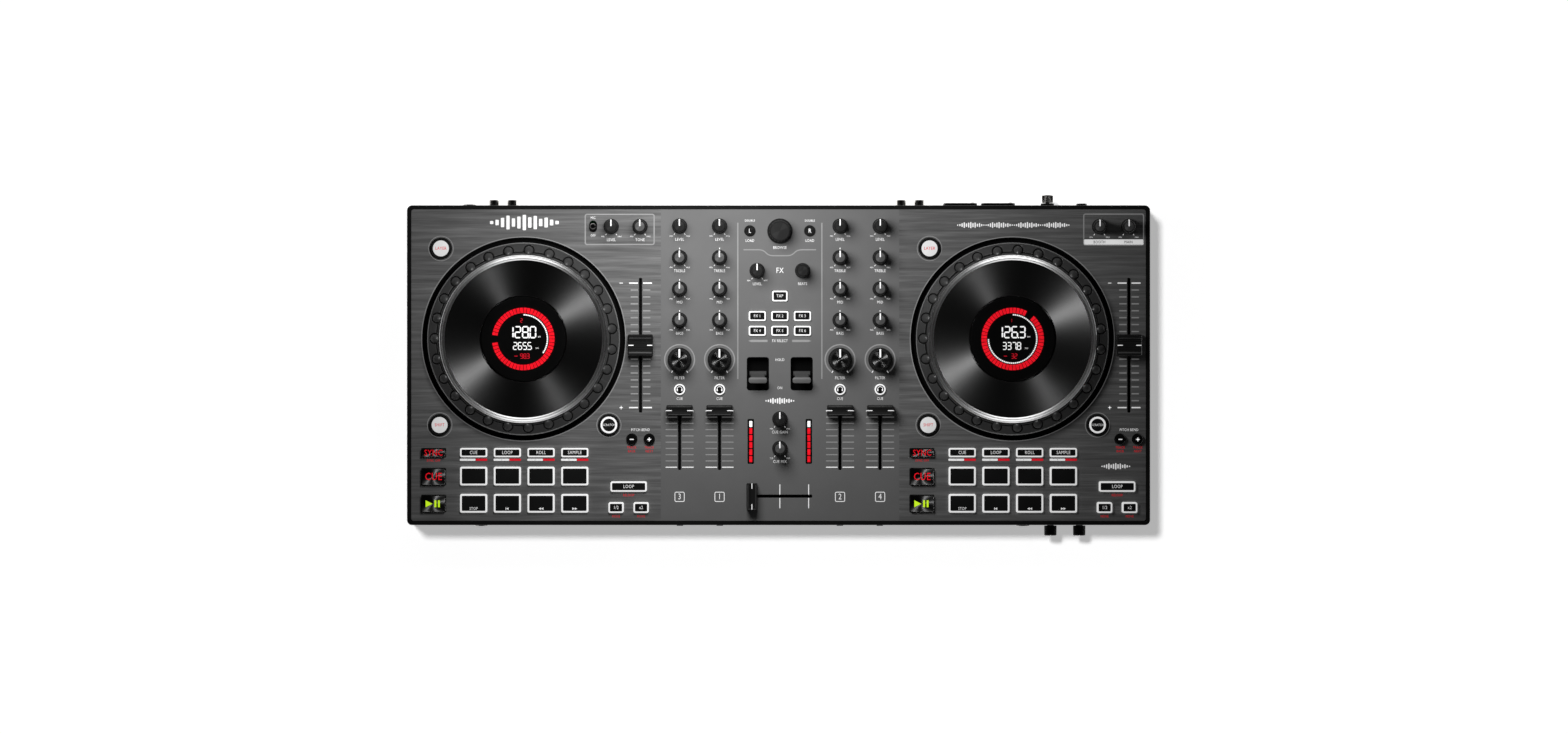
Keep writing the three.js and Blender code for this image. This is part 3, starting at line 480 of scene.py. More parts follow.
RED_TINT, DARK_RED, LIT_RED, LIME = (
    (0.6, 0.008, 0.02, 1), (0.14, 0.003, 0.005, 1), (0.62, 0.006, 0.014, 1), (0.55, 0.85, 0.02, 1))
SPUN = {"metallic": 1.0, "spread": 0.05}
MATT = {"roughness": 0.6, "bump": 0.1}
FINISHES = {
    "panel": panel_finish(),
    "board": board_finish(),
    "case": surface("case_plastic", grey(0.01), 0.5, grain=2600, bump=0.5, wear=0.05, specular=0.25),
    "well": surface("well_plastic", grey(0.004), 0.6, grain=1800, bump=0.3, specular=0.15),
    "knob": surface("knob_rubber", grey(0.016), 0.55, grain=3000, bump=0.3, wear=0.3, specular=0.35),
    "knob_face": surface("knob_face", grey(0.085), 0.5, grain=2600, wear=0.2, specular=0.4),
    "knob_dark": surface("knob_dark_face", grey(0.02), 0.5, grain=2600, wear=0.2, specular=0.4),
    "spun": surface("spun_black", grey(0.06), 0.36, anisotropy=0.95, bump=0.02, **SPUN),
    "gloss_top": surface("key_top_gloss", grey(0.035), 0.36, anisotropy=0.97, bump=0.0, **SPUN),
    "disc": surface("jog_disc", grey(0.05), 0.4, anisotropy=0.95, bump=0.02, **SPUN),
    "cap": surface("cap_plastic", grey(0.012), 0.45, wear=0.3, specular=0.35),
    # ridge: grey of the paddle lever's neck, and on fader caps the strips of painted highlight
    "ridge": surface("cap_ridge", grey(0.06), 0.4, wear=0.3),
    "key": surface("key_black", grey(0.013), 0.35, wear=0.2, specular=0.3),
    "gloss": surface("key_gloss", grey(0.005), 0.14, bump=0.03, coat=0.4),
    # white: pale plastic with painted glow that keeps pointers, cap lines, key rims and socket insulators
    # bright; on the key rims it also stands for their backlight
    "white": surface("white_plastic", grey(0.86), 0.4, spread=0.03, wear=0.05, glow=0.5),
    # cap_white: the white round caps glow, a painted light
    "cap_white": surface("round_key_white", grey(0.6), 0.4, spread=0.04, wear=0.05, glow=0.55),
    "grip": surface("grip_rubber", grey(0.055), 0.36, 0.2, wear=0.2, specular=0.7, bump=0.06),
    # groove: near-black painted shade laid in hollows and slots: the grip's moats and groove, vent slots,
    # screw slots and the jack bore's end
    "groove": surface("grip_groove", grey(0.008), 0.6, specular=0.2),
    "silver": surface("jog_ring_silver", grey(0.8), 0.3, 1.0, spread=0.04, bump=0.02),
    "display": surface("display_black", grey(0.0035), 0.45, specular=0.15, bump=0.05),
    "metal": surface("nickel", grey(0.62, (1, 0.98, 0.95)), 0.2, 1.0, spread=0.08, wear=0.1),
    "dark_metal": surface("dark_metal", grey(0.12), 0.35, 1.0, wear=0.3),
    "rubber": surface("foot_rubber", grey(0.012), 0.85, grain=1500, bump=0.6, specular=0.2),
    "paddle": surface("paddle_grey", grey(0.2), 0.4, 0.2, wear=0.2),
    "red_plastic": surface("red_plastic", (0.5, 0.01, 0.01, 1), 0.4),
    "unlit_red": surface("unlit_red", DARK_RED, 0.4),
    # print inks glow: painted light that keeps printing bright across the panel; print_dim and print_dark
    # do not glow
    "print": surface("print_white", grey(0.82), spread=0.06, glow=0.45, **MATT),
    "print_grey": surface("print_grey", grey(0.3), spread=0.1, glow=0.22, **MATT),
    "print_dim": surface("print_dim", grey(0.16), **MATT),
    "print_dark": surface("print_dark", grey(0.02), **MATT),
    # the red ink glows as painted light on the panel and keys; on the jog displays it stands for their
    # lit red marks
    "print_red": surface("print_red", RED_TINT, spread=0.12, glow=0.5, **MATT),
    "light_red": surface("light_red", LIT_RED, 0.4, spread=0.22, blotch=350, glow=0.8),
    "light_white": surface("light_white", grey(0.9), 0.4, spread=0.05, glow=0.6),
    "light_green": surface("light_green", LIME, 0.4, spread=0.05, glow=0.6),
}

# ---------------------------------------------------------------- case, rim and panel


def case_outline(inset):
    return rounded(CASE_WIDTH - 2 * inset, CASE_DEPTH - 2 * inset, CASE_CORNER - inset, 8)


def wall_cutter():
    """What the holes in the rear and front walls take away."""
    rear, front = (CASE_HIGH.y - WALL - 1, TO_REAR), (CASE_LOW.y + WALL + 1, TO_FRONT)
    phonos = [x + side * PHONO_SPACING / 2 for x in (AUX_X, BOOTH_X) for side in BOTH_WAYS]
    rounds = [(MIC_SOCKET_X, 5, rear), (EARTH_X, 2.6, rear), (POWER_X, 4.7, rear)]
    rounds += [(x, 11.7, rear) for x in XLR_XS] + [(x, 4.6, rear) for x in phonos]
    rounds += [(x, 5, front) for x in HEADPHONE_XS]
    rounds += [(centre(node).x, 3.6, front) for node in HEADPHONE_KNOBS]
    holes = [(x, circle(radius, 48), wall) for x, radius, wall in rounds]
    holes += [(USB_X, rounded(12.6, 12, 0.6), rear)]
    holes += [(x, rounded(11, 3.4, 1), front) for x in COLUMNS.values()]
    shape = Shape()
    for x, outline, (y, turn) in holes:
        shape.add(prism(outline, 0, WALL + 2), x, y, SOCKET_Z, turn=turn)
    return shape


def bottom_tub():
    edge, rim, floor_top = 1.6, 0.3, CASE_LOW.z + 2.5
    profile = [(edge, CASE_LOW.z), (edge * 0.3, CASE_LOW.z + edge * 0.3), (0, CASE_LOW.z + edge),
               (0, CASE_HIGH.z - rim), (rim, CASE_HIGH.z), (WALL, CASE_HIGH.z), (WALL, floor_top)]
    shape = Shape()
    shape.add(stacked([(case_outline(inset), height) for inset, height in profile]))
    tub = piece("bottom_tub", shape, "case", "bottom_case")
    cutter = shown("wall_cutter", mesh_of("wall_cutter", wall_cutter()))
    cut = tub.modifiers.new("sockets", "BOOLEAN")
    cut.operation = "DIFFERENCE"
    cut.solver = "EXACT"
    cut.object = cutter
    depsgraph = bpy.context.evaluated_depsgraph_get()
    carved = bpy.data.meshes.new_from_object(tub.evaluated_get(depsgraph))
    tub.modifiers.clear()
    tub.data = carved
    carved.set_sharp_from_angle(angle=math.radians(SMOOTH_BELOW))
    bpy.data.objects.remove(cutter)


def underside():
    """Vent slots and case screws under the floor. The vent slots are not cut: near-black pills stand in
    as painted shade, and each screw's slot is a near-black cross of painted shade.
    """
    vents, screws = Shape(z=CASE_LOW.z), Shape(z=CASE_LOW.z)
    for row in BOTH_WAYS:
        for i in range(-6, 7):
            # a near-black pill: painted shade where a vent slot would be dark
            vents.add(slab(3, 22, -0.25, 0.6, 1.5, 0.2), i * 9, row * 40)
    for x in (-262, -93, 93, 262):
        for y in (-100, 100):
            screws.add(button(3.1, -0.3, 0.6, 0.3, 32), x, y)
            # the screw's cross slot as near-black painted shade
            for turn in (NO_TURN, QUARTER):
                screws.add(slab(3.4, 0.8, -0.42, -0.2, 0.2, 0.05), x, y, finish=1, turn=turn)
    piece("floor_vents", vents, "groove", "bottom_case")
    piece("case_screws", screws, "dark_metal groove", "bottom_case")


def top_rim():
    edge, softening = 0.9, 0.3
    profile = [(0, SHELL_BOTTOM + softening), (0, RIM_TOP - edge)]
    for i in range(1, 5):
        angle = math.pi / 2 * i / 4
        profile.append((edge * (1 - math.cos(angle)), RIM_TOP - edge * (1 - math.sin(angle))))
    profile += [(RIM_WIDTH - softening, RIM_TOP), (RIM_WIDTH, RIM_TOP - softening),
                (RIM_WIDTH, LEDGE_TOP), (LEDGE_WIDTH, LEDGE_TOP), (LEDGE_WIDTH, SHELL_BOTTOM),
                (softening, SHELL_BOTTOM)]
    shape = Shape()
    shape.add(stacked([(case_outline(inset), height) for inset, height in profile], closed=True))
    piece("top_rim", shape, "case", "top_shell")


def jog_well(side):
    floor, hole, outer = 45, 20, 80
    profile = [(hole, floor), (WELL_RADIUS, floor), (WELL_RADIUS, LEDGE_TOP - 0.3),
               (WELL_RADIUS + 0.3, LEDGE_TOP), (outer, LEDGE_TOP), (outer, SHELL_BOTTOM),
               (hole, SHELL_BOTTOM)]
    shape = Shape(*DECKS[side].xy)
    shape.add(lathe(profile, 160, closed=True))
    piece(f"{side}_jog_well", shape, "well", "top_shell")


def panel_holes():
    """Every hole as (outline function of how far it has widened, x, y)."""
    holes = []

    def hole(x, y, width, depth, radius):
        holes.append((lambda more: rounded(width + 2 * more, depth + 2 * more, radius + more, 4), x, y))

    def round_hole(x, y, radius, count=40):
        holes.append((lambda more: circle(radius + more, count), x, y))

    for deck in DECKS.values():
        round_hole(deck.x, deck.y, PANEL_WELL_RADIUS, 180)
        for x, y in (LAYER_KEY, SHIFT_KEY, SCRATCH_KEY):
            round_hole(deck.x + x, deck.y + y, ROUND_KEY_RADIUS)
        for x, y in BEND_KEYS:
            round_hole(deck.x + x, deck.y + y, BEND_KEY_RADIUS)
        for x, y, *size in TRANSPORT_KEYS.values():
            hole(deck.x + x, deck.y + y, *size, 0.8)
        for x, y, *size in LOOP_KEYS.values():
            hole(deck.x + x, deck.y + y, *size, 1.4)
        for x in PAD_COLUMNS:
            hole(deck.x + x, deck.y + MODE_ROW, *MODE_SIZE, 1.4)
            for y in PAD_ROWS:
                hole(deck.x + x, deck.y + y, *PAD_SIZE, 1.4)
        hole(deck.x + PITCH_X, deck.y + PITCH_Y, *PITCH_SLOT, 0.8)
    for x, y, *size in EFFECT_KEYS + [TAP_KEY]:
        hole(MIXER_X + x, y, *size, 1.2)
    for x, y in LOAD_KEYS:
        round_hole(MIXER_X + x, y, LOAD_KEY_RADIUS)
    for x in COLUMNS.values():
        round_hole(x, CUE_KEY_Y, CUE_KEY_RADIUS)
        hole(x, (FADER_TOP + FADER_BOTTOM) / 2, SLOT_WIDTH, FADER_TOP - FADER_BOTTOM, 0.8)
    cross_x = MIXER_X + (CROSS_RIGHT + CROSS_LEFT) / 2
    hole(cross_x, CROSS_Y, CROSS_RIGHT - CROSS_LEFT, SLOT_WIDTH, 0.8)
    for sign in BOTH_WAYS:
        hole(MIXER_X + sign * PADDLE_X, PADDLE_Y, *PADDLE_SIZE, 2)
        hole(MIXER_X + sign * METER_X, METER_Y, *METER_SIZE, 0.8)
    for node in KNOBS:
        round_hole(*centre(node).xy, SHAFT_HOLE)
    hole(MIC_TOGGLE.x, MIC_TOGGLE.y, 6, 9, 3)
    return holes


def sheet_triangles(vertices, loops):
    """Triangles that fill the first loop of vertex numbers and leave the others, all convex, open."""
    numbers, owners, edges = [], [], []
    for owner, loop in enumerate(loops):
        start, count = len(numbers), len(loop)
        numbers += loop
        owners += [owner] * count
        edges += [(start + i, start + (i + 1) % count) for i in range(count)]
    flat = [vertices[i].xy for i in numbers]
    triangles, sources = delaunay_2d_cdt(flat, edges, [], 0, 1e-5, True)[2:4]
    kept = []
    for triangle in triangles:
        corners = [sources[i][0] for i in triangle]
        if len({owners[i] for i in corners}) > 1 or not owners[corners[0]]:
            kept.append([numbers[i] for i in corners])
    return kept


def face_plate():
    """One sheet with a small chamfer round its rim and round every hole."""
    chamfer = 0.25
    middle, size = (PANEL_LOW + PANEL_HIGH) / 2, PANEL_HIGH - PANEL_LOW
    rim = (lambda less: rounded(size.x - 2 * less, size.y - 2 * less, 2 - less), middle.x, middle.y)
    shape = Shape()
    top_loops, bottom_loops = [], []
    for outline, x, y in [rim] + panel_holes():
        rings = []
        for change, height in ((chamfer, PANEL_TOP), (0, PANEL_TOP - chamfer), (0, PANEL_BOTTOM)):
            start = len(shape.vertices)
            shape.vertices += [Vector((x + px, y + py, height)) for px, py in outline(change)]
            rings.append(list(range(start, len(shape.vertices))))
        for upper, lower in zip(rings, rings[1:]):
            shape.faces += [[upper[i - 1], upper[i], lower[i], lower[i - 1]] for i in range(len(upper))]
        top_loops.append(rings[0])
        bottom_loops.append(rings[2])
    for loops in (top_loops, bottom_loops):
        shape.faces += sheet_triangles(shape.vertices, loops)
    shape.indices = [0] * len(shape.faces)
    piece("face_sheet", shape, "panel", "face_plate", sharp=None)


def paddle_wells():
    floor, top, outer, inner = 41.2, PANEL_BOTTOM - 0.1, 1, 0.3
    width, depth = PADDLE_SIZE
    sections = [(rounded(width + 2 * more, depth + 2 * more, 2 + more), height)
                for more, height in ((outer, floor), (outer, top), (inner, top), (inner, floor + 0.4))]
    shape = Shape(MIXER_X, PADDLE_Y)
    for sign in BOTH_WAYS:
        shape.add(stacked(sections), sign * PADDLE_X)
    piece("paddle_wells", shape, "well", "top_shell")


def feet():
    for node in ("foot_front_left", "foot_front_right", "foot_rear_left", "foot_rear_right"):
        radius, top = half_width(node), high_corner(node).z
        profile = [(0, 0), (radius - 3, 0), (radius - 3, 0.5), (radius - 2, 0.5), (radius - 2, 0),
                   (radius - 1, 0), (radius, 1), (radius - 1, top), (0, top)]
        shape = Shape(*centre(node).xy)
        shape.add(lathe(softened(profile, 0.3), 64))
        piece(f"{node}_pad", shape, "rubber", node)


# ---------------------------------------------------------------- jog wheels and displays

BEADS, BEAD_CIRCLE, BEAD_RADIUS, BEAD_RISE = 27, 68.4, 3.9, 2.4
BEAD_OFFSET = math.radians(3.56)
GRIP_INNER, GRIP_OUTER = (64.6, 58.6), (73.9, 54.6)      # radius and height
GRIP_SKIRT = [(74.3, 54.3), (74.4, 53.9), (74.4, 46.2), (74.2, 46), (71.8, 46), (71.8, 52), (64.6, 55)]
MOAT_WIDTH, MOAT_DEPTH = 0.75, 1.0
GROOVE_RADIUS, GROOVE_REACH = 66.9, 0.85


def eased(value):
    value = min(max(value, 0.0), 1.0)
    return value * value * (3 - 2 * value)


def grip_height(radius, angle):
    """Height of the grip ring and how hollow it is, which also picks the faces that take painted shade: a
    slope with domed beads, moats and a groove.
    """
    share = (radius - GRIP_INNER[0]) / (GRIP_OUTER[0] - GRIP_INNER[0])
    base = GRIP_INNER[1] + (GRIP_OUTER[1] - GRIP_INNER[1]) * share
    spacing = math.tau / BEADS
    nearest = (angle - BEAD_OFFSET + spacing / 2) % spacing - spacing / 2
    across, along = radius * math.sin(nearest), radius * math.cos(nearest) - BEAD_CIRCLE
    distance = math.hypot(across, along)
    if distance < BEAD_RADIUS - MOAT_WIDTH:
        return base - MOAT_DEPTH + BEAD_RISE * math.sqrt(1 - (distance / BEAD_RADIUS) ** 2), 0.0
    moat = 1 - eased(abs(distance - BEAD_RADIUS + 0.1) / MOAT_WIDTH)
    moat *= eased((along + 3.2) / 1.5)
    groove = 0.0 if distance < BEAD_RADIUS else 1 - eased(abs(radius - GROOVE_RADIUS) / GROOVE_REACH)
    hollow = max(moat, groove)
    return base - MOAT_DEPTH * hollow, hollow


def jog_grip(side):
    """A fine polar sheet closed underneath. Faces down in its hollows take the second finish, a
    near-black painted shade.
    """
    around, across = BEADS * 44, 46
    reach = GRIP_OUTER[0] - GRIP_INNER[0]
    path = [(GRIP_INNER[0] + reach * j / across, None) for j in range(across + 1)] + GRIP_SKIRT
    shape = Shape(*DECKS[side].xy)
    vertices, hollow = [], []
    for radius, height in path:
        for i in range(around):
            angle = math.tau * i / around
            level, deep = (height, 0.0) if height else grip_height(radius, angle)
            vertices.append((radius * math.sin(angle), radius * math.cos(angle), level))
            hollow.append(deep)
    shape.add(loft([vertices[j * around:(j + 1) * around] for j in range(len(path))], closed=True))
    # the deepest faces of the moats and the groove are painted near-black: painted shade over the real
    # hollows
    shape.indices = [1 if sum(hollow[i] for i in face) > 2 else 0 for face in shape.faces]
    node = f"{side}_jog_wheel"
    piece(f"{side}_jog_grip", shape, "grip groove", node)


def jog_wheel(side):
    node = f"{side}_jog_wheel"
    ring = [(64.8, 55), (64.8, 59.6), (64.2, 60.2), (63.6, 60.3), (62.2, 61.4), (60.6, 60.7), (60.6, 55)]
    # edge: a thin grey ring on the grip's outer rim, a painted highlight for the light line along that
    # edge
    edge = [(73.5, 54.75), (73.7, 55.0), (74.0, 54.9), (74.2, 54.5), (73.9, 54.2), (73.5, 54.3)]
    platter = [(60.5, 60.5), (33.7, 60.6), (33.3, 60.3), (33.3, 54.5), (16.3, 54.5), (16.3, 46.5),
               (24, 46.5), (35.5, 52), (37.5, 58.2), (60.5, 58.2)]
    jog_grip(side)
    bezel, disc = Shape(*DECKS[side].xy), Shape(*DECKS[side].xy)
    bezel.add(lathe(softened(ring, 0.25), 288, closed=True))
    bezel.add(lathe(edge, 288, closed=True), finish=1)
    piece(f"{side}_jog_bezel", bezel, "silver paddle", node)
    disc.add(lathe(platter, 256, closed=True))
    piece(f"{side}_jog_disc", disc, "disc", node)


SEGMENTS = {"0": "abcdef", "1": "bc", "2": "abged", "3": "abgcd", "4": "fgbc", "5": "afgcd",
            "6": "afgedc", "7": "abc", "8": "abcdefg", "9": "abcfgd"}
DISPLAY_TOP = high_corner("left_jog_display").z - 0.1
LIT_TOP = DISPLAY_TOP + 0.06
RING_RADIUS, RING_SEGMENTS, RING_LIT_SHARE = 22, 52, 0.83
DOT_RADIUS, DOT_STEP = 18.6, 4.5
RED_LIGHT, WHITE_LIGHT, RED_MARK = range(3)
READOUTS = {
    "left": {"tempo": "128.0", "time": "265.5", "deck": "2", "offset": "98.3", "gap": 270, "dots": 127},
    "right": {"tempo": "126.3", "time": "337.8", "deck": "1", "offset": "32", "gap": 35, "dots": 270},
}


def digit(value, width, height, stroke):
    """The lit bars of one seven-segment digit."""
    w, h = width / 2, height / 2
    bars = {
        "a": ((-w, h), (w, h)), "g": ((-w, 0), (w, 0)), "d": ((-w, -h), (w, -h)), "f": ((-w, h), (-w, 0)),
        "b": ((w, h), (w, 0)), "e": ((-w, 0), (-w, -h)), "c": ((w, 0), (w, -h)),
    }
    lit = []
    for bar in SEGMENTS[value]:
        start, end = Vector(bars[bar][0]), Vector(bars[bar][1])
        along = (end - start).normalized()
        side = Vector((-along.y, along.x)) * stroke / 2
        start += along * stroke * 0.15
        end -= along * stroke * 0.15
        tip = along * stroke / 2
        outline = [start, start + tip - side, end - tip - side, end, end - tip + side, start + tip + side]
        lit.append(prism(outline, DISPLAY_TOP, LIT_TOP))
    return lit


def number(shape, text, x, y, size, finish):
    """A row of seven-segment digits centred on x, with a point where the text has one."""
    pitch = size * 0.69
    left = x - pitch * (sum(c != "." for c in text) - 1) / 2
    for character in text:
        if character == ".":
            point = prism(rounded(size * 0.12, size * 0.12, size * 0.04), DISPLAY_TOP, LIT_TOP)
            shape.add(point, left - pitch / 2, y - size / 2, finish=finish)
            continue
        for bar in digit(character, size * 0.5, size, size * 0.13):
            shape.add(bar, left, y, finish=finish)
        left += pitch


def display_lights(side):
    readout = READOUTS[side]
    step = 360 / RING_SEGMENTS
    lit, backing = Shape(*DECKS[side].xy), Shape(*DECKS[side].xy)
    for i in range(1, RING_SEGMENTS - 1):
        angle, half = readout["gap"] + step * (i + 0.5), step / 2 * RING_LIT_SHARE
        segment = band(arc(RING_RADIUS, angle - half, angle + half, 4), 4.2, DISPLAY_TOP, LIT_TOP)
        lit.add(segment, finish=RED_LIGHT)
    for i in range(int(readout["dots"] / DOT_STEP)):
        angle = DOT_STEP * (i + 0.5)
        dot = band(arc(DOT_RADIUS, angle - 1.7, angle + 1.7, 2), 1.0, DISPLAY_TOP, LIT_TOP)
        lit.add(dot, finish=WHITE_LIGHT)
    number(lit, readout["tempo"], -1.3, 5.2, 8.4, WHITE_LIGHT)
    number(lit, readout["time"], -0.7, -5.4, 5.4, WHITE_LIGHT)
    number(lit, readout["deck"], -1.4, 14.2, 2.8, RED_MARK)
    number(lit, readout["offset"], 1.2, -13.2, 3.6, RED_MARK)
    lit.add(band([(-1.2, 0), (1.2, 0)], 0.5, DISPLAY_TOP, LIT_TOP), -5.6, -13.2, finish=RED_MARK)
    for x, y, words in ((12.4, 1.6, "BPM"), (10.6, -7.2, "TIME")):
        lit.add(lettering(words, 1.0, DISPLAY_TOP, LIT_TOP), x, y, finish=WHITE_LIGHT)
    start = readout["gap"] + step
    unlit = arc(RING_RADIUS, start, start + 360 - 2 * step, 160)
    backing.add(band(unlit, 4.0, DISPLAY_TOP, DISPLAY_TOP + 0.03))
    node = f"{side}_jog_display"
    piece(f"{side}_display_lights", lit, "light_red light_white print_red", node)
    piece(f"{side}_display_ring", backing, "unlit_red", node)


def jog_display(side):
    """The round window on its post, with the flange that the jog wheel turns on."""
    radius, top = 32.8, DISPLAY_TOP
    profile = [(0, top), (26, top), (26.4, top + 0.08), (radius - 0.8, top + 0.08), (radius, top - 0.5),
               (radius, 57.6), (16, 57.6), (16, 42), (28, 42), (28, 40), (9, 40), (9, 57), (0, 57)]
    base = Shape(*DECKS[side].xy)
    base.add(lathe(profile, 128))
    piece(f"{side}_display_body", base, "display", f"{side}_jog_display")
    display_lights(side)


# ---------------------------------------------------------------- knobs

ROWS = ("level", "high", "mid", "low", "filter")
KNOBS = [f"channel_{name}_{row}_knob" for name in CHANNELS for row in ROWS]
KNOBS += ["browse_encoder", "effect_level_knob", "beats_encoder", "cue_gain_knob", "cue_mix_knob",
          "mic_level_knob", "mic_tone_knob", "booth_knob", "main_knob"]
PLAIN = ("browse_encoder", "beats_encoder")
KNOB_BASE = PANEL_TOP + 0.6
SHAFT_BOTTOM, SHAFT_RADIUS = 41.3, 3
POINTER_RISE = 0.4      # the CAD knob's height includes its pointer


def small_knob(node):
    """Skirt, fluted grip, dished face and a raised pointer, on its shaft."""
    radius, top = half_width(node), high_corner(node).z
    plain = node in PLAIN
    if not plain:
        top -= POINTER_RISE
    grip = radius * 0.83
    profile = [(0, SHAFT_BOTTOM), (SHAFT_RADIUS, SHAFT_BOTTOM), (SHAFT_RADIUS, KNOB_BASE),
               (radius, KNOB_BASE), (radius, KNOB_BASE + 1.6), (grip + 0.3, KNOB_BASE + 2.6),
               (grip, top - 0.8), (grip - 0.7, top), (grip - 1.1, top), (grip - 1.15, top - 0.25),
               (0, top - 0.25)]
    flutes = (20, radius * 0.05, KNOB_BASE + 2.8, top - 0.9)
    face = [(0, top - 0.26), (grip - 1.2, top - 0.26), (grip - 1.3, top - 0.2), (0, top - 0.16)]
    shape = Shape(*centre(node).xy)
    shape.add(lathe(softened(profile, 0.35, 2), 80, flutes=flutes))
    shape.add(lathe(face, 64), finish=1)
    if not plain:
        reach = grip - 0.1
        shape.add(slab(0.95, reach, top - 0.3, top + 0.2, 0.3, 0.15), 0, reach / 2 + 0.1, finish=2)
        shape.add(slab(0.95, 0.5, KNOB_BASE + 1, top, 0.15, 0.1), 0, grip, finish=2)
    dark = plain or node.endswith(("level_knob", "gain_knob"))
    piece(f"{node}_cap", shape, f"knob {'knob_dark' if dark else 'knob_face'} white", node)


def filter_knob(node):
    """Large knob with a spun top and a long pointer."""
    radius, top = half_width(node), high_corner(node).z - POINTER_RISE
    grip = radius * 0.84
    profile = [(0, SHAFT_BOTTOM), (SHAFT_RADIUS, SHAFT_BOTTOM), (SHAFT_RADIUS, KNOB_BASE),
               (radius, KNOB_BASE), (radius, KNOB_BASE + 2), (grip + 0.4, KNOB_BASE + 3),
               (grip, top - 1), (grip - 0.8, top), (grip - 1.2, top), (grip - 1.25, top - 0.2),
               (0, top - 0.2)]
    flutes = (28, radius * 0.045, KNOB_BASE + 3.2, top - 1.1)
    reach = grip - 0.2
    shape, disc = Shape(*centre(node).xy), Shape(*centre(node).xy)
    shape.add(lathe(softened(profile, 0.4, 2), 112, flutes=flutes))
    shape.add(slab(1.3, reach - 1.5, top - 0.3, top + 0.25, 0.4, 0.15), 0, reach / 2 + 0.8, finish=1)
    shape.add(slab(1.3, 0.5, KNOB_BASE + 1, top, 0.15, 0.1), 0, grip, finish=1)
    piece(f"{node}_cap", shape, "knob white", node)
    disc.add(lathe([(0, top - 0.21), (grip - 1.3, top - 0.21), (grip - 1.5, top - 0.05), (0, top)], 96))
    piece(f"{node}_top", disc, "spun", node)


def front_knob(node):
    """Knob on the front edge, its pointer facing out."""
    back, spot = CASE_LOW.y - 0.8, centre(node)
    radius, length = (high_corner(node).x - low_corner(node).x) / 2, back - low_corner(node).y
    profile = [(0, -4), (2.6, -4), (2.6, 0), (radius, 0), (radius, length - 0.6), (radius - 0.7, length),
               (radius - 1.2, length), (radius - 1.3, length - 0.3), (0, length - 0.3)]
    shape = Shape(spot.x, back, spot.z, TO_FRONT)
    shape.add(lathe(softened(profile, 0.3, 2), 72, flutes=(24, 0.3, 1, length - 0.8)))
    shape.add(slab(0.9, radius - 0.6, length - 0.4, length - 0.02, 0.3, 0.1), 0, radius / 2, finish=1)
    piece(f"{node}_cap", shape, "knob white", node)


# ---------------------------------------------------------------- fader caps, paddles, toggle


def ridged_cap(node, width, height, outline, marks, turn=NO_TURN):
    """A fader cap: its side view drawn out along its width, with end chamfers, on its stem."""
    spot, base = centre(node), high_corner(node).z - height
    half, chamfer = width / 2, 0.7
    shape = Shape(spot.x, spot.y, base, turn)
    sections = [(-half, 0.9), (chamfer - half, 1), (half - chamfer, 1), (half, 0.9)]
    shape.add(loft([[(x, y * share, z * share) for y, z in outline] for x, share in sections]))
    # marks in white are the cap's own lines; marks in the ridge grey are painted highlights along its
    # crests
    for x, y, z, mark_width, mark_depth, finish in marks:
        shape.add(slab(mark_width, mark_depth, 0, 0.22, 0.15, 0.06), x, y, z, finish)
    shape.add(slab(1.4, 4, low_corner(node).z - base, 1, 0.3, 0.1))
    piece(f"{node}_cap", shape, "cap white ridge", node)


def channel_cap(node, turn=NO_TURN):
    height, width = 9.9, 20.2
    rear_half = [(0.9, 8.4), (2.5, 9.7), (3.3, 9.2), (4.1, 3), (4.3, 0)]
    outline = [(-y, z) for y, z in reversed(rear_half)] + rear_half
    marks = [(side * 8.0, 0, 8.3, 4.2, 0.6, 1) for side in BOTH_WAYS]
    # the two grey strips along the front and rear crests are painted highlights
    marks += [(0, -3.0, 9.35, width - 2.5, 0.45, 2), (0, 3.0, 9.35, width - 2.5, 0.3, 2)]
    ridged_cap(node, width, height, softened(outline, 0.5), marks, turn)


def pitch_cap(node):
    """A long cap that rises in four steps from its middle groove to each end."""
    height, width, drawn_height = 10.4, 19.3, 8.4
    step, fall = 1.5, 0.35
    outline = [(-8.55, 0), (-8.3, 3)]
    for i in range(4):
        y, z = i * step, -i * fall
        outline += [(y - 7.6, z + 8.2), (y - 6.9, z + 8.3), (y - 6.7, z + 7.7)]
    outline += [(-1.4, 6.9), (1.4, 6.9)]
    for i in range(4):
        y, z = i * step, i * fall
        outline += [(y + 2.2, z + 7.2), (y + 2.9, z + 7.3), (y + 3.1, z + 6.8)]
    outline += [(7.9, 8.2), (8.3, 3), (8.55, 0)]
    tall = height / drawn_height
    marks = [(side * 7.2, 0, 6.9 * tall, 4.0, 0.7, 1) for side in BOTH_WAYS]
    # the grey strips on the front and rear steps are painted highlights
    marks += [(0, -5.7, 7.85 * tall, width - 1.6, 1.3, 2), (0, 5.5, 7.9 * tall, width - 2, 0.4, 2)]
    ridged_cap(node, width, height, softened([(y, z * tall) for y, z in outline], 0.15, 2), marks)


def effect_paddle(node):
    """Pivot barrel, tapering lever with ribs and a wide tip, leaning to the front at rest."""
    pivot_height, lean_degrees = 44, 20
    lean = turned_about("X", lean_degrees)
    shape = Shape(centre(node).x, PADDLE_Y, pivot_height)
    shape.add(button(2.2, -6.5, 6.5, 0.3, 40), turn=turned_about("Y", 90))
    shape.add(slab(11, 2.4, 0, 14, 0.8, 0.3, taper=0.2), turn=lean)
    for i in range(4):
        place = lean @ Vector((0, -1.15, 3.5 + i * 2.4))
        shape.add(slab(9.6, 0.8, 0, 0.9, 0.3, 0.2), *place, finish=1, turn=lean @ TO_FRONT)
    shape.add(slab(14, 4, 12.9, 16.3, 1.6, 0.7), finish=2, turn=lean)
    piece(f"{node}_lever", shape, "ridge cap paddle", node)


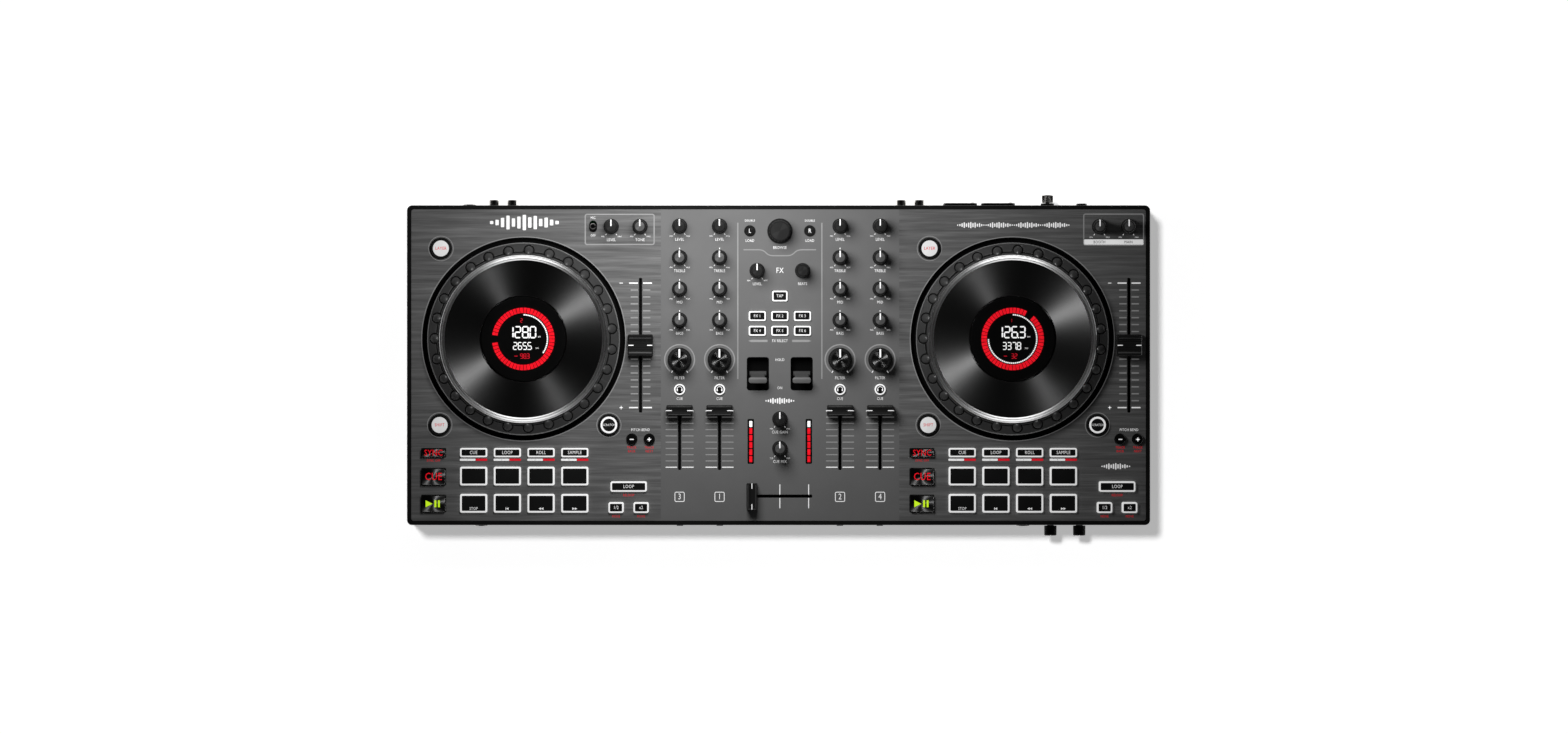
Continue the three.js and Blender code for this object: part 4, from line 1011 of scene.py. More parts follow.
def mic_toggle():
    pivot_height = 45
    profile = [(0, -2.2), (1.2, -1.8), (2.2, 0), (1.5, 1.6), (1.4, 5), (2.1, 9), (2.4, 10), (2.2, 11.2),
               (1.2, 11.6), (0, high_corner("mic_toggle").z - pivot_height)]
    bat = Shape(MIC_TOGGLE.x, MIC_TOGGLE.y, pivot_height)
    bat.add(lathe(softened(profile, 0.5), 48))
    piece("mic_toggle_bat", bat, "metal", "mic_toggle")
    sleeve = Shape(MIC_TOGGLE.x, MIC_TOGGLE.y)
    bottom, top, outer, inner = PANEL_BOTTOM - 3, PANEL_BOTTOM - 0.1, 1.12, 0.98
    sections = [([(x * share, y * share) for x, y in rounded(6.6, 9.6, 3.3)], height)
                for share, height in ((outer, bottom), (outer, top), (inner, top), (inner, bottom))]
    sleeve.add(stacked(sections, closed=True))
    piece("mic_toggle_sleeve", sleeve, "well", "top_shell")


# ---------------------------------------------------------------- keys

KEY_BOTTOM, PAD_BOTTOM, LOW_KEY_BOTTOM = PANEL_BOTTOM - 3, 45, 37.5
CARRIER_BOTTOM, CARRIER_TOP = 44.5, 46
PAD_WORDS, PAD_SYMBOLS = ("CUE", "LOOP", "ROLL", "SAMPLE"), (None, "start", "back", "forward")
DECK_CARRIERS = ((-66, -31.5, 8, 205), (80.9, -98, 8, 72), (8, -96.6, 150, 6), (74, -66.3, 18, 6),
                 (89, -77.4, 18, 6))
MIXER_CARRIERS = ((0, 33, 5, 118), (0, -24, 162, 4), (0, 90, 52, 4), (0, 37.9, 46, 5), (0, 26.5, 46, 5))


def lit_key(shape, x, y, width, depth, top, border=1.3, bottom=KEY_BOTTOM):
    """A pale lit body with a black crowned inset, so that a rim of light shows."""
    width, depth = width - 2 * KEY_CLEARANCE, depth - 2 * KEY_CLEARANCE
    shape.add(slab(width, depth, bottom, top - 0.15, 1.4, 0.3), x, y, finish=1)
    inset = slab(width - 2 * border, depth - 2 * border, bottom + 0.5, top, 0.8, 0.25, crown=0.1)
    shape.add(inset, x, y)


def key_words(shape, words, x, y, size, top, finish, sunk=0.02, proud=0.05):
    shape.add(lettering(words, size, top - sunk, top + proud), x, y, finish=finish)


# Each mark is (width or 0 for a triangle, place, direction) as shares of the symbol's size.
SYMBOLS = {
    "play_pause": ((0, -0.55, 1), (0.28, 0.35, 1), (0.28, 0.85, 1)),
    "start": ((0.22, -0.6, 1), (0, 0, -1)),
    "back": ((0, -0.5, -1), (0, 0.5, -1)),
    "forward": ((0, -0.5, 1), (0, 0.5, 1)),
}


def key_symbol(shape, name, x, y, z, size, finish):
    """Transport symbols as flat prisms: triangles and bars."""
    for width, place, direction in SYMBOLS[name]:
        half = size / 2
        outline = [(-half * direction, -half), (half * direction, 0), (-half * direction, half)]
        if width:
            outline = rounded(size * width, size, 0.05)
        shape.add(prism(outline, z, z + 0.06), x + size * place, y, finish=finish)


def pads(side):
    shape = Shape(*DECKS[side].xy)
    for x, words, symbol in zip(PAD_COLUMNS, PAD_WORDS, PAD_SYMBOLS):
        for y in PAD_ROWS:
            lit_key(shape, x, y, *PAD_SIZE, PAD_TOP)
        lit_key(shape, x, MODE_ROW, *MODE_SIZE, PAD_TOP, 1.1)
        key_words(shape, words, x, MODE_ROW, 2.6, PAD_TOP, 2)
        mark_y = PAD_ROWS[1] - 4.1
        if symbol:
            key_symbol(shape, symbol, x, mark_y, PAD_TOP - 0.02, 1.9, 2)
        else:
            key_words(shape, "STOP", x, mark_y, 2.2, PAD_TOP, 2)
    width = PAD_COLUMNS[3] - PAD_COLUMNS[0] + PAD_SIZE[0]
    sheet = slab(width, 51.6, CARRIER_BOTTOM, CARRIER_TOP, 2, 0.3)
    shape.add(sheet, (PAD_COLUMNS[0] + PAD_COLUMNS[3]) / 2, -109)
    piece(f"{side}_pad_keys", shape, "key white print", f"{side}_pads")


def transport_cap(side, name):
    """A gloss cap of its own, so that its spun top is lit in wedges about its own middle."""
    node, top = f"{side}_keys", KEY_TOP
    x, y, width, depth = TRANSPORT_KEYS[name]
    width, depth = width - 2 * KEY_CLEARANCE, depth - 2 * KEY_CLEARANCE
    at = DECKS[side].xy + Vector((x, y))
    cap, mark = Shape(*at), Shape(*at)
    cap.add(slab(width, depth, LOW_KEY_BOTTOM, top - 0.4, 0.8, 0.35))
    cap.add(slab(width - 0.3, depth - 0.3, top - 1.2, top, 0.7, 0.3), finish=1)
    piece(f"{side}_{name}_cap", cap, "gloss gloss_top", node)
    if name == "play":
        key_symbol(mark, "play_pause", -0.4, 0, top, 5.4, 0)
    else:
        mark.add(lettering(name.upper(), 4.7 if name == "sync" else 5.8, top, top + 0.06), finish=1)
    piece(f"{side}_{name}_mark", mark, "light_green light_red", node)


def round_key(shape, x, y, black_centre):
    """A stepped round key: black rim, then a white cap or a white ring with a black centre."""
    radius, top = ROUND_KEY_RADIUS - KEY_CLEARANCE, KEY_TOP
    rim = [(0, LOW_KEY_BOTTOM), (radius, LOW_KEY_BOTTOM), (radius, top - 0.3), (radius - 0.3, top - 0.1),
           (0, top - 0.1)]
    shape.add(lathe(softened(rim, 0.2), 64), x, y)
    if black_centre:
        shape.add(button(radius * 0.81, top - 1, top, 0.3, 64), x, y, finish=1)
        shape.add(button(radius * 0.62, top - 1, top + 0.05, 0.15, 64), x, y)
    else:
        shape.add(button(radius * 0.78, top - 1, top, 0.3, 64), x, y, finish=5)


def bend_key(shape, x, y, plus):
    radius = BEND_KEY_RADIUS - KEY_CLEARANCE
    shape.add(button(radius, LOW_KEY_BOTTOM, KEY_TOP, 0.5, 48), x, y, finish=3)
    strokes = [[(-1.5, 0), (1.5, 0)]] + ([[(0, -1.5), (0, 1.5)]] if plus else [])
    for stroke in strokes:
        shape.add(band(stroke, 0.8, KEY_TOP - 0.04, KEY_TOP + 0.05), x, y, finish=4)


def deck_keys(side):
    shape = Shape(*DECKS[side].xy)
    for key, words in ((LAYER_KEY, "LAYER"), (SHIFT_KEY, "SHIFT")):
        round_key(shape, *key, black_centre=False)
        key_words(shape, words, *key, 2.5, KEY_TOP, 2, 0.04)
    round_key(shape, *SCRATCH_KEY, black_centre=True)
    key_words(shape, "SCRATCH", *SCRATCH_KEY, 1.75, KEY_TOP, 4, 0.04, 0.1)
    for key, plus in zip(BEND_KEYS, (False, True)):
        bend_key(shape, *key, plus)
    for name in TRANSPORT_KEYS:
        transport_cap(side, name)
    for words, (x, y, width, depth) in LOOP_KEYS.items():
        lit_key(shape, x, y, width, depth, KEY_TOP, 1.1, LOW_KEY_BOTTOM)
        key_words(shape, words, x, y, 2.6, KEY_TOP, 4, 0.04)
    for x, y, width, depth in DECK_CARRIERS:
        shape.add(slab(width, depth, LOW_KEY_BOTTOM - 0.5, LOW_KEY_BOTTOM + 1, 1, 0.3), x, y)
    names = "key white print_red gloss print cap_white"
    piece(f"{side}_deck_keys", shape, names, f"{side}_keys", sharp=20)


def headphone_icon(shape, x, y, z, finish):
    shape.add(band(arc(1.9, -100, 100, 16), 0.5, z, z + 0.06), x, y - 0.1, finish=finish)
    for side in BOTH_WAYS:
        shape.add(prism(rounded(1.0, 1.6, 0.3), z, z + 0.06), x + side * 1.8, y - 0.9, finish=finish)


def mixer_keys():
    shape = Shape(MIXER_X)
    words = [f"FX {i + 1}" for i in range(len(EFFECT_KEYS))]
    for (x, y, *size), text in zip(EFFECT_KEYS, words):
        lit_key(shape, x, y, *size, PAD_TOP, 1.0, PAD_BOTTOM)
        key_words(shape, text, x, y, 2.3, PAD_TOP, 2)
    lit_key(shape, *TAP_KEY, PAD_TOP, 1.0, PAD_BOTTOM)
    key_words(shape, "TAP", *TAP_KEY[:2], 2.4, PAD_TOP, 2)
    radius = CUE_KEY_RADIUS - KEY_CLEARANCE
    for column in COLUMNS.values():
        x = column - MIXER_X
        shape.add(button(radius, PAD_BOTTOM, PAD_TOP - 0.1, 0.3, 56), x, CUE_KEY_Y, finish=1)
        shape.add(button(radius * 0.74, PAD_BOTTOM + 1, PAD_TOP, 0.2, 56), x, CUE_KEY_Y)
        headphone_icon(shape, x, CUE_KEY_Y + 0.4, PAD_TOP - 0.02, 2)
    for (x, y), letter in zip(LOAD_KEYS, "LR"):
        shape.add(button(LOAD_KEY_RADIUS - KEY_CLEARANCE, PAD_BOTTOM, PAD_TOP, 0.5, 56), x, y)
        key_words(shape, letter, x, y, 3.4, PAD_TOP, 2)
    carriers = MIXER_CARRIERS + tuple((x, 96, 5, 14) for x, _ in LOAD_KEYS)
    carriers += tuple((x - MIXER_X, -21.5, 5, 6) for x in COLUMNS.values())
    for x, y, width, depth in carriers:
        shape.add(slab(width, depth, CARRIER_BOTTOM, CARRIER_TOP, 1, 0.3), x, y)
    piece("mixer_key_set", shape, "key white print", "mixer_keys")


# ---------------------------------------------------------------- printing on the panel

INKS = "print print_grey print_dim print_red print_dark"
WHITE, GREY, DIM, RED, DARK = range(5)


class Print(Shape):
    """Thin printing on the panel, placed from a zone's own origin."""

    def line(self, start, end, width, ink=WHITE):
        self.curve([start, end], width, ink)

    def curve(self, path, width, ink=WHITE, closed=False, x=0.0, y=0.0):
        self.add(band(path, width, PRINT_BOTTOM, PRINT_TOP, closed), x, y, finish=ink)

    def ray(self, x, y, degrees, start, end, width):
        """A tick that points away from a knob, in degrees either side of straight down."""
        angle = math.radians(degrees)
        path = [(x + reach * math.sin(angle), y - reach * math.cos(angle)) for reach in (start, end)]
        self.curve(path, width)

    def filled(self, outline, x, y, ink=WHITE):
        self.add(prism(outline, PRINT_BOTTOM, PRINT_TOP), x, y, finish=ink)

    def words(self, text, x, y, size, ink=WHITE, lift=0.0):
        self.add(lettering(text, size, PRINT_BOTTOM, PRINT_TOP), x, y, lift, ink)

    def box(self, x, y, width, depth, radius, stroke, ink=GREY):
        self.curve(rounded(width, depth, radius), stroke, ink, True, x, y)

    def finish(self, name):
        piece(name, self, INKS, "face_plate")


OVER_PRINT = 0.06       # lifts dark words printed on a pale patch


def pitch_scale(ink):
    ticks, half_height = 19, PITCH_TRAVEL
    for i in range(ticks):
        y = PITCH_Y + half_height * (1 - 2 * i / (ticks - 1))
        end, middle = i in (0, ticks - 1), i == ticks // 2
        reach = 8.85 if end else 7.6
        for sign in BOTH_WAYS:
            shade = WHITE if end or middle else GREY
            ink.line((PITCH_X + sign * 1.9, y), (PITCH_X + sign * reach, y), 1.0, shade)
    sign_x, arm = PITCH_X - 14.9, 1.3
    for y in (PITCH_Y + half_height, PITCH_Y - half_height):
        ink.line((sign_x - arm, y), (sign_x + arm, y), 0.6)
    ink.line((sign_x, y - arm), (sign_x, y + arm), 0.6)


def deck_print(side):
    ink = Print(*DECKS[side].xy)
    # a grey ring just outside the well's hole: a painted highlight for the light line along the hole's
    # chamfer
    ink.curve(circle(PANEL_WELL_RADIUS + 0.55, 200), 0.5, GREY, True)
    for (x, y), radius in ((LAYER_KEY, 9.5), (SHIFT_KEY, 9.5), (SCRATCH_KEY, 9.4)):
        ink.curve(circle(radius, 72), 0.45, GREY, True, x, y)
    for x, y in BEND_KEYS:
        ink.curve(circle(5.0, 48), 0.35, DIM, True, x, y)
    pitch_scale(ink)
    ink.words("PITCH BEND", PITCH_X, BEND_KEYS[0][1] + 7.3, 2.1)
    for (x, y), second in zip(BEND_KEYS, ("BACK", "NEXT")):
        ink.words("TRACK", x, y - 6.3, 1.9, RED)
        ink.words(second, x, y - 9.2, 1.9, RED)
    x, y, _, depth = TRANSPORT_KEYS["sync"]
    ink.words("SYNC OFF", x, y - depth / 2 - 2.2, 1.9, RED)
    for i, x in enumerate(PAD_COLUMNS):
        y = MODE_ROW - MODE_SIZE[1] / 2 - 1.6
        ink.filled(rounded(12, 1.7, 0.5), x - 4.6, y)
        ink.filled(rounded(9, 1.7, 0.5), x + 6, y, RED)
        ink.words(f"{i + 1}", x - 4.6, y, 1.1, DARK, OVER_PRINT)
    for key, (x, y, _, depth) in LOOP_KEYS.items():
        ink.words("RELOOP" if key == "LOOP" else "MOVE", x, y - depth / 2 - 2.4, 1.9, RED)
    ink.finish(f"{side}_deck_print")


def knob_ticks(ink, x, y, low="MIN", high="MAX", spread=6.49, drop=7.7):
    """Two ticks either side of straight down, with the words for the knob's ends."""
    for sign, words in ((-1, low), (1, high)):
        ink.ray(x, y, 33 * sign, 6.7, 7.9, 0.5)
        ink.words(words, x + sign * spread, y - drop, 1.15)


def knob_print(ink, x, y, words, **ends):
    knob_ticks(ink, x, y, **ends)
    ink.words(words, x, y - 10.3, 2.2)


ROW_WORDS = {"level": "LEVEL", "high": "TREBLE", "mid": "MID", "low": "BASS"}


def column_print(ink, name, x):
    """Everything printed along one channel."""
    for row, y in KNOB_ROWS.items():
        knob_print(ink, x, y, ROW_WORDS[row])
        if row != "level":
            ink.line((x, y + 6.4), (x, y + 7.6), 0.6)
    ink.curve(arc(11.5, -142, 142, 60), 0.9, GREY, x=x, y=FILTER_Y)
    ink.words("FILTER", x, FILTER_Y - 14.2, 2.2)
    for sign in BOTH_WAYS:
        ink.ray(x, FILTER_Y, 32 * sign, 10.2, 11.9, 0.7)
    ink.words("CUE", x, CUE_KEY_Y - CUE_KEY_RADIUS - 2.6, 2.1)
    ticks, spacing = 10, 4.83
    for i in range(ticks):
        y = FADER_TOP - 2.8 - spacing * i
        shade = WHITE if i in (0, ticks - 1) else GREY
        for sign in BOTH_WAYS:
            ink.line((x + sign * 1.9, y), (x + sign * 10.8, y), 0.75, shade)
    ink.box(x, -101.5, 7.2, 7.2, 1.0, 0.55, WHITE)
    ink.words(name, x, -101.5, 4.6)


def select_arrows(ink, y):
    for sign in BOTH_WAYS:
        arrow = [(9.5, -0.9), (22, -0.9), (24.4, 0), (22, 0.9), (9.5, 0.9)]
        ink.filled([(x * sign, rise) for x, rise in arrow], 0, y, GREY)
    ink.words("FX SELECT", 0, y, 2.1)


def mixer_print():
    ink = Print(MIXER_X)
    for name, x in COLUMNS.items():
        column_print(ink, name, x - MIXER_X)
    for sign in BOTH_WAYS:
        ink.line((sign * 32.4, 109.8), (sign * 32.4, -10.6), 0.9, GREY)
    dip = [(-28, 89), (-13, 89), (-8.5, 84.4), (9, 84.4), (13.5, 89), (28, 89)]
    ink.curve(softened(dip, 3.5, 5), 0.8, GREY)
    for x, _ in LOAD_KEYS:
        ink.words("LOAD", x, 96.0, 2.1)
        ink.words("DOUBLE", x, 111.4, 1.7)
    knob_print(ink, -EFFECT_KNOB_X, EFFECT_KNOB_Y, "LEVEL")
    knob_print(ink, 0, -41.4, "CUE GAIN")
    knob_print(ink, 0, -64.1, "CUE MIX", low="CUE", high="PGM")
    ink.words("BROWSE", 0, 90.6, 2.2)
    ink.words("BEATS", EFFECT_KNOB_X, EFFECT_KNOB_Y - 10.2, 2.1)
    ink.words("FX", 0, EFFECT_KNOB_Y, 4.2)
    select_arrows(ink, 18.7)
    ink.words("HOLD", 0, 4.1, 2.1)
    ink.words("ON", 0, -17.6, 2.1)
    for i in range(3):
        x = CROSS_LEFT + 1.8 + i * 22.2
        for sign in BOTH_WAYS:
            ink.line((x, CROSS_Y + sign * 1.3), (x, CROSS_Y + sign * 9.2), 0.7)
    ink.finish("mixer_print")


EMBLEM_BARS = (2.4, 4.2, 7.2, 10.6, 6.4, 9.2, 11.8, 8.0, 10.2, 5.6, 7.6, 4.4, 2.6)


def emblem(ink, x, y, scale, repeats=1):
    """A plain row of level bars in place of words that belong to a maker."""
    bars = EMBLEM_BARS * repeats
    for i, height in enumerate(bars):
        offset = (i - (len(bars) - 1) / 2) * 4.2 * scale
        ink.filled(rounded(2.6 * scale, height * scale, 0.5), x + offset, y)


def corner_print():
    ink = Print()
    for box in (MIC_BOX, MAIN_BOX):
        ink.box(*box, 1.4, 0.9)
    x, y, width, depth = MAIN_BOX
    strip = y - depth / 2 + 2.15
    ink.filled(rounded(width, 4.3, 1.0), x, strip)
    for node, words in (("mic_level_knob", "LEVEL"), ("mic_tone_knob", "TONE")):
        knob_print(ink, *centre(node).xy, words)
    for node, words in (("booth_knob", "BOOTH"), ("main_knob", "MAIN")):
        knob_ticks(ink, *centre(node).xy, spread=6.4, drop=8.2)
        ink.words(words, centre(node).x, strip, 2.2, DARK, OVER_PRINT)
    ink.words("MIC", MIC_TOGGLE.x, MIC_TOGGLE.y + 6.6, 1.9)
    ink.words("OFF", MIC_TOGGLE.x, MIC_TOGGLE.y - 7.0, 1.9)
    emblem(ink, -196, 110, 1.0)
    emblem(ink, 181, 108, 0.4, repeats=4)
    emblem(ink, 260, -78, 0.42)
    emblem(ink, MIXER_X, -27.5, 0.42)
    ink.finish("corner_print")


def level_meters():
    width, depth = METER_SIZE
    count = 6
    pitch = (depth - 2) / count
    for side, sign in zip(SIDES, BOTH_WAYS):
        shape = Shape(MIXER_X + sign * METER_X, METER_Y)
        shape.add(slab(width - 0.4, depth - 0.4, 48.3, PANEL_TOP, 0.7, 0.2))
        for i in range(count):
            light = slab(2.3, pitch - 0.8, PANEL_TOP - 0.1, PANEL_TOP + 0.05, 0.3, 0.04)
            shape.add(light, 0, depth / 2 - 1 - pitch * (i + 0.5), finish=2 if i else 1)
        piece(f"{side}_level_meter", shape, "gloss light_white light_red")


# ---------------------------------------------------------------- sockets


class Socket(Shape):
    """A socket on the rear or front edge. Its solids are drawn along the way out of the edge."""

    def __init__(self, x, rear=True):
        self.rear = rear
        face, turn = (CASE_HIGH.y, TO_REAR) if rear else (CASE_LOW.y, TO_FRONT)
        super().__init__(x, face, SOCKET_Z, turn)

    def housing(self, width, depth, top, y=111, finish=0, radius=1, edge=0.4):
        """The plain body that stands on the board behind the edge."""
        upright = self.turn.transposed()
        place = upright @ Vector((0, y - self.origin.y, -SOCKET_Z))
        self.add(slab(width, depth, BOARD_TOP, top, radius, edge), *place, finish, upright)

    def finish(self, name, finishes):
        piece(name, self, finishes, "rear_jack_board" if self.rear else "front_jack_board")


def phono_pair(name, x):
    socket = Socket(x)
    socket.housing(28, 14, SOCKET_Z + 5)
    barrel = [(4.4, -4), (4.4, 0.3), (4.2, 0.3), (4.15, 4.2), (3.8, 4.6), (2.9, 4.6), (2.9, 0), (2.9, -4)]
    insulator = [(0, -4), (2.9, -4), (2.9, 3.6), (1.9, 3.6), (1.7, 1), (0, 1)]
    for sign, colour in zip(BOTH_WAYS, (2, 3)):
        offset = sign * PHONO_SPACING / 2
        socket.add(lathe(softened(barrel, 0.15, 2), 56, closed=True), offset, finish=1)
        socket.add(lathe(insulator, 56), offset, finish=colour)
    socket.finish(name, "case metal white red_plastic")


def jack_socket(name, x, rear=True):
    """A 6.35 mm socket: body, barrel, thin nut and a deep bore, closed by a near-black disc of painted
    shade.
    """
    socket = Socket(x, rear)
    socket.housing(13, 16, SOCKET_Z + 6, 110 if rear else -110)
    nut = [(3.6, 0.3), (5.15, 0.3), (5.15, 0.9), (4.9, 1.1), (3.6, 1.1)]
    barrel = [(4.6, -5), (4.6, 1), (3.3, 1), (3.2, 0.6), (3.2, -5)]
    socket.add(lathe(nut, 96, closed=True, flutes=(24, 0.25, 0, 1)), finish=1)
    socket.add(lathe(barrel, 56, closed=True), finish=2)
    # the end of the bore: a near-black disc of painted shade for its depth
    socket.add(lathe([(0, -4.9), (3.25, -4.9), (3.25, -4), (0, -4)], 40), finish=3)
    socket.finish(name, "case metal dark_metal groove")


def xlr_flange():
    """A rounded plate with a round hole whose points face the plate's own."""
    outline, radius = rounded(26, 31, 3, 8), 9.6
    hole = circle(radius, len(outline))
    first = Vector(outline[0]).normalized() * radius
    start = min(range(len(hole)), key=lambda i: (Vector(hole[i]) - first).length)
    hole = hole[start:] + hole[:start]
    rim = [(x * 0.975, y * 0.98) for x, y in outline]
    sections = [(outline, 0.3), (outline, 1.5), (rim, 1.9), (hole, 1.9), (hole, 0.3)]
    return stacked(sections, closed=True)


def xlr_socket(name, x):
    socket = Socket(x)
    cup = [(11.3, -19), (11.3, 0.4), (9.6, 0.4), (9.4, -15), (0, -15), (0, -19)]
    lip = [(9.5, 0), (9.5, 2.0), (10.4, 2.0), (10.6, 1.8), (10.6, 0)]
    pin = [(0, -15.5), (1.2, -15.5), (1.2, -6.8), (0, -6)]
    head = [(0, -0.4), (2.2, -0.4), (2.2, 0.25), (1.6, 0.6), (0, 0.7)]
    socket.add(xlr_flange())
    socket.add(lathe(cup, 64), finish=2)
    socket.add(lathe(lip, 64, closed=True), finish=2)
    for px, py in arc(4.6, -60, 180, 2):
        socket.add(lathe(softened(pin, 0.4), 24), px, py, finish=1)
    for sign in BOTH_WAYS:
        place = (sign * 9.5, -sign * 12, 1.7)
        socket.add(lathe(softened(head, 0.2), 40), *place, 1)
        # near-black crosses on the screw heads: painted shade for their slots
        for turn in (NO_TURN, QUARTER):
            socket.add(slab(2.2, 0.5, 0.55, 0.74, 0.1, 0.03), *place, 3, turn)
    socket.housing(16, 14, SOCKET_Z - 8, finish=2)
    socket.finish(name, "dark_metal metal case groove")


def earth_terminal():
    socket = Socket(EARTH_X)
    nut = [(0, 2.2), (4.3, 2.2), (4.45, 2.6), (4.45, 7.6), (4.1, 8.3), (2.2, 8.4), (2.1, 8.1), (0, 8.1)]
    collar = [(2.4, -1), (5.2, -1), (5.2, 1.5), (4.6, 1.9), (2.4, 1.9)]
    socket.add(lathe(softened(nut, 0.25, 2), 120, flutes=(30, 0.28, 2.7, 7.6)))
    socket.add(lathe([(0, -6), (2, -6), (2, 2.4), (0, 2.4)], 40))
    socket.add(lathe(softened(collar, 0.2, 2), 64), finish=1)
    socket.housing(8, 8, SOCKET_Z + 3, 112, 1, 0.8, 0.3)
    socket.finish("earth_terminal", "metal case")


def usb_socket():
    socket = Socket(USB_X)
    outer, inner = rounded(12, 11.4, 0.8, 4), rounded(8.8, 8.0, 0.5, 4)
    socket.add(stacked([(outer, -18), (outer, 0.2), (inner, 0.2), (inner, -12)]))
    socket.add(slab(5.6, 3.2, -12, -4, 0.4, 0.2), finish=1)
    socket.housing(10, 12, SOCKET_Z - 4, finish=1, radius=0.8, edge=0.3)
    socket.finish("usb_socket", "metal case")


def power_button():
    socket = Socket(POWER_X)
    cap = [(0, -7), (4.25, -7), (4.25, 1.3), (3.8, 1.8), (3.2, 1.8), (2.6, 1.5), (0, 1.5)]
    socket.add(lathe(softened(cap, 0.25), 64))
    for path in (arc(1.5, 40, 320, 24), [(0, 0.6), (0, 2.0)]):
        socket.add(band(path, 0.35, 1.48, 1.56), finish=1)
    socket.housing(12, 12, SOCKET_Z + 5, finish=2, radius=0.8, edge=0.3)
    socket.finish("power_button", "gloss print case")


def slide_switches():
    slides = Socket(0, rear=False)
    for x in COLUMNS.values():
        slides.origin.x = x
        slides.housing(13, 10, SOCKET_Z + 3, -113, radius=0.8, edge=0.3)
        slides.add(slab(5, 2.4, -6, 1, 0.4, 0.25), finish=1)
    slides.finish("slide_switches", "case paddle")


def socket_boards():
    for end, y, width, depth in (("rear", 104, 500, 26), ("front", -107, 490, 20)):
        shape = Shape(0, y)
        shape.add(slab(width, depth, BOARD_TOP - 1, BOARD_TOP + 0.6, 1, 0.1))
        piece(f"{end}_socket_board", shape, "board", f"{end}_jack_board")


# ---------------------------------------------------------------- building


def build_decks():
    for side in SIDES:
        jog_well(side)
        jog_wheel(side)
        jog_display(side)
        pitch_cap(f"{side}_pitch_fader")
        pads(side)
        deck_keys(side)
        deck_print(side)
        effect_paddle(f"{side}_effect_paddle")


def build_controls():
    for node in KNOBS:
        knob = filter_knob if node.endswith("filter_knob") else small_knob
        knob(node)
    for node in HEADPHONE_KNOBS:
        front_knob(node)
    for name in CHANNELS:
        channel_cap(f"channel_{name}_fader")
    channel_cap("crossfader", QUARTER)
    mixer_keys()
    mixer_print()
    corner_print()
    level_meters()
    mic_toggle()


def build_sockets():
    socket_boards()
    slide_switches()
    jack_socket("mic_socket", MIC_SOCKET_X)
    phono_pair("aux_phono", AUX_X)
    phono_pair("booth_phono", BOOTH_X)
    for side, x in zip(SIDES, XLR_XS):
        xlr_socket(f"xlr_{side}", x)
    earth_terminal()
    usb_socket()
    power_button()
    for side, x in zip(SIDES, HEADPHONE_XS):
        jack_socket(f"headphone_jack_{side}", x, rear=False)


def build_controller():
    bottom_tub()
    underside()
    top_rim()
    face_plate()
    paddle_wells()
    feet()
    build_decks()
    build_controls()
    build_sockets()
    for slot in frame["nodes"]["main_board"].material_slots:
        slot.material = FINISHES["board"]


# ---------------------------------------------------------------- stage, in metres


def floor():
    reach = 4
    mesh = bpy.data.meshes.new("floor")
    mesh.from_pydata([(x * reach, y * reach, 0) for x, y in ((-1, -1), (1, -1), (1, 1), (-1, 1))], [],
                     [[0, 1, 2, 3]])
    mesh.materials.append(surface("floor_white", grey(0.88), 0.7, spread=0.01, blotch=3, bump=0.0,
                                  specular=0.1, glow=0.46))
    plane = shown("floor", mesh)
    return plane


def add_lamp(name, kind, place, power, glossy=True, diffuse=True):
    """A lamp aimed at the panel's middle, unseen itself, for gloss, for plain light or for both."""
    lamp = shown(name, bpy.data.lights.new(name, kind))
    lamp.data.energy = power
    lamp.location = place
    lamp.rotation_euler = (-Vector(place)).to_track_quat("-Z", "Y").to_euler()
    lamp.visible_camera = False
    lamp.visible_glossy = glossy
    lamp.visible_diffuse = diffuse
    return lamp


def distant_lamp(name, pieces, azimuth, tilt, angle, strength, gloss_only=True):
    """Parallel light on some pieces, from a bearing clockwise from the rear, leaning from overhead."""
    bearing, lean = math.radians(azimuth), math.radians(tilt)
    out = math.sin(lean)
    place = (out * math.sin(bearing), out * math.cos(bearing), math.cos(lean))
    lamp = add_lamp(name, "SUN", place, strength, glossy=gloss_only, diffuse=not gloss_only)
    lamp.data.angle = math.radians(angle)
    lit = bpy.data.collections.new(f"{name}_only_on")
    for obj in pieces:
        lit.objects.link(obj)
    lamp.light_linking.receiver_collection = lit


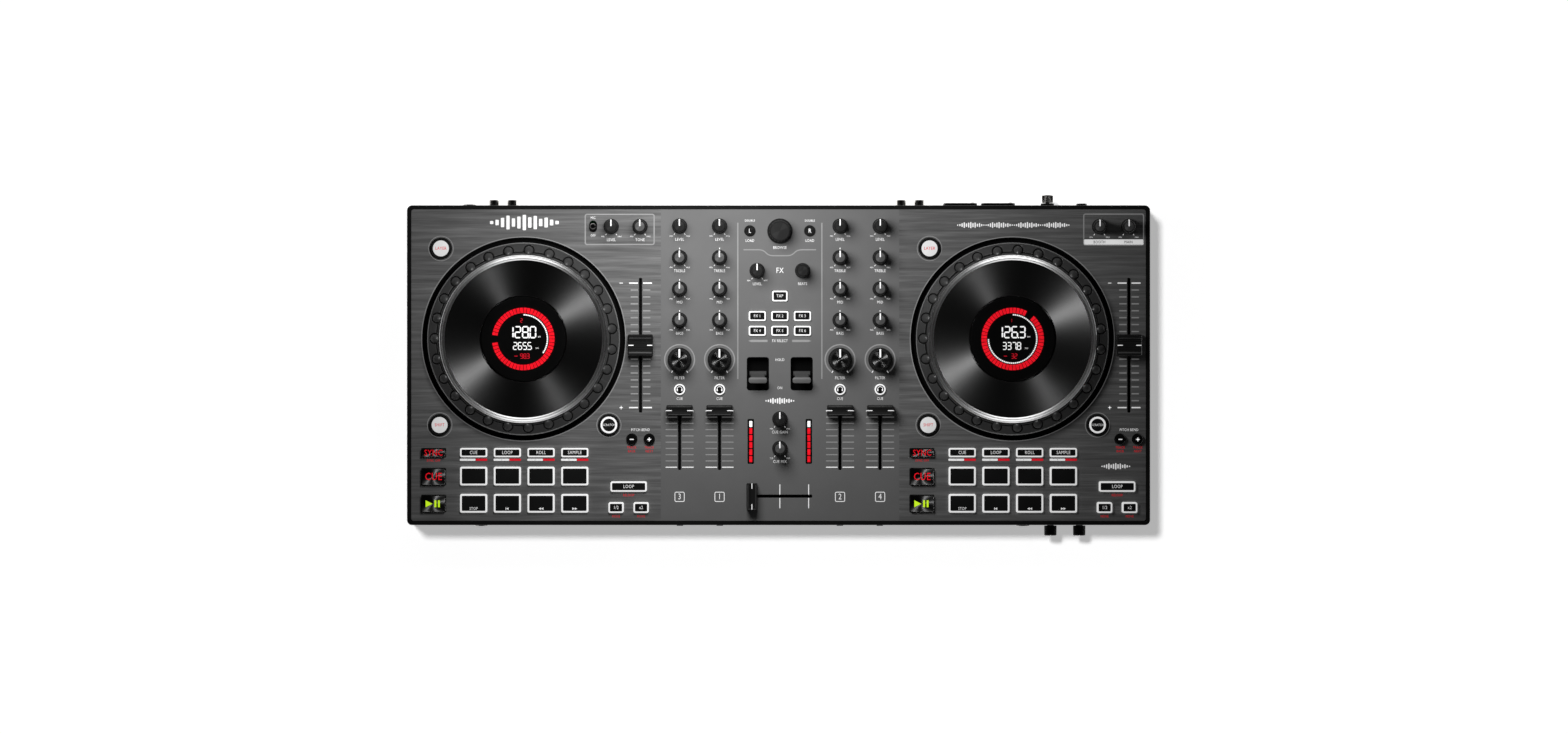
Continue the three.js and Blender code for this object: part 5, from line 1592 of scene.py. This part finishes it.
def near_lamp(name, place, size, power):
    """A soft disk close above the object, so that the light falls off across it."""
    lamp = add_lamp(name, "AREA", place, power, glossy=False)
    lamp.data.shape = "DISK"
    lamp.data.size = size


def ending(*endings):
    return [obj for obj in bpy.data.objects if obj.name.endswith(endings)]


def lamps(ground):
    spun = ending("_jog_disc", "_knob_top")
    transport = ending("_sync_cap", "_cue_cap", "_play_cap")
    bezels, grips = ending("_jog_bezel"), ending("_jog_grip")
    distant_lamp("key", [ground], 316, 17, 7, 2.1, gloss_only=False)
    distant_lamp("spokes_strong", spun, 150, 38, 6, 3.6)
    distant_lamp("spokes_weak", spun, 60, 38, 6, 1.1)
    distant_lamp("wedges_upright", transport, 90, 38, 6, 3.0)
    distant_lamp("wedges_slanted", transport, 145, 38, 6, 3.0)
    distant_lamp("ring_rear", bezels, 0, 62, 45, 0.9)
    distant_lamp("ring_front", bezels, 180, 62, 45, 0.6)
    distant_lamp("beads", grips, 330, 14, 16, 0.9)
    near_lamp("near", (-0.075, 0.155, 0.285), 0.2, 1.03)


def sky():
    """Soft surroundings: dark overhead, bright low down to the front and rear, dimmer at the sides."""
    world = bpy.data.worlds.new("studio")
    bpy.context.scene.world = world
    nodes = Nodes(world)
    ahead = nodes.calculate("ABSOLUTE", nodes.axis("Y", "Generated"))
    fore = nodes.ramp(ahead, (0.2, grey(0.22)), (0.6, grey(0.55)), (0.95, grey(1)))
    rise = nodes.ramp(nodes.axis("Z", "Generated"), (0.0, grey(1)), (0.55, grey(0.75)), (0.9, grey(0.06)))
    colour = nodes.mix(1, fore, rise, blend="MULTIPLY")
    nodes.feed(nodes.tree.nodes["Background"], {"Color": colour, "Strength": 0.22})


def camera():
    lens, sensor, view_width = 200, 36, 1.209
    data = bpy.data.cameras.new("camera")
    data.lens = lens
    data.sensor_width = sensor
    data.clip_end = 100
    eye = shown("camera", data)
    eye.location = (0.0042, -0.0014, view_width * lens / sensor + PANEL_TOP * MM)
    bpy.context.scene.camera = eye


build_controller()
lamps(floor())
sky()
camera()
bpy.context.scene.view_settings.view_transform = "Standard"
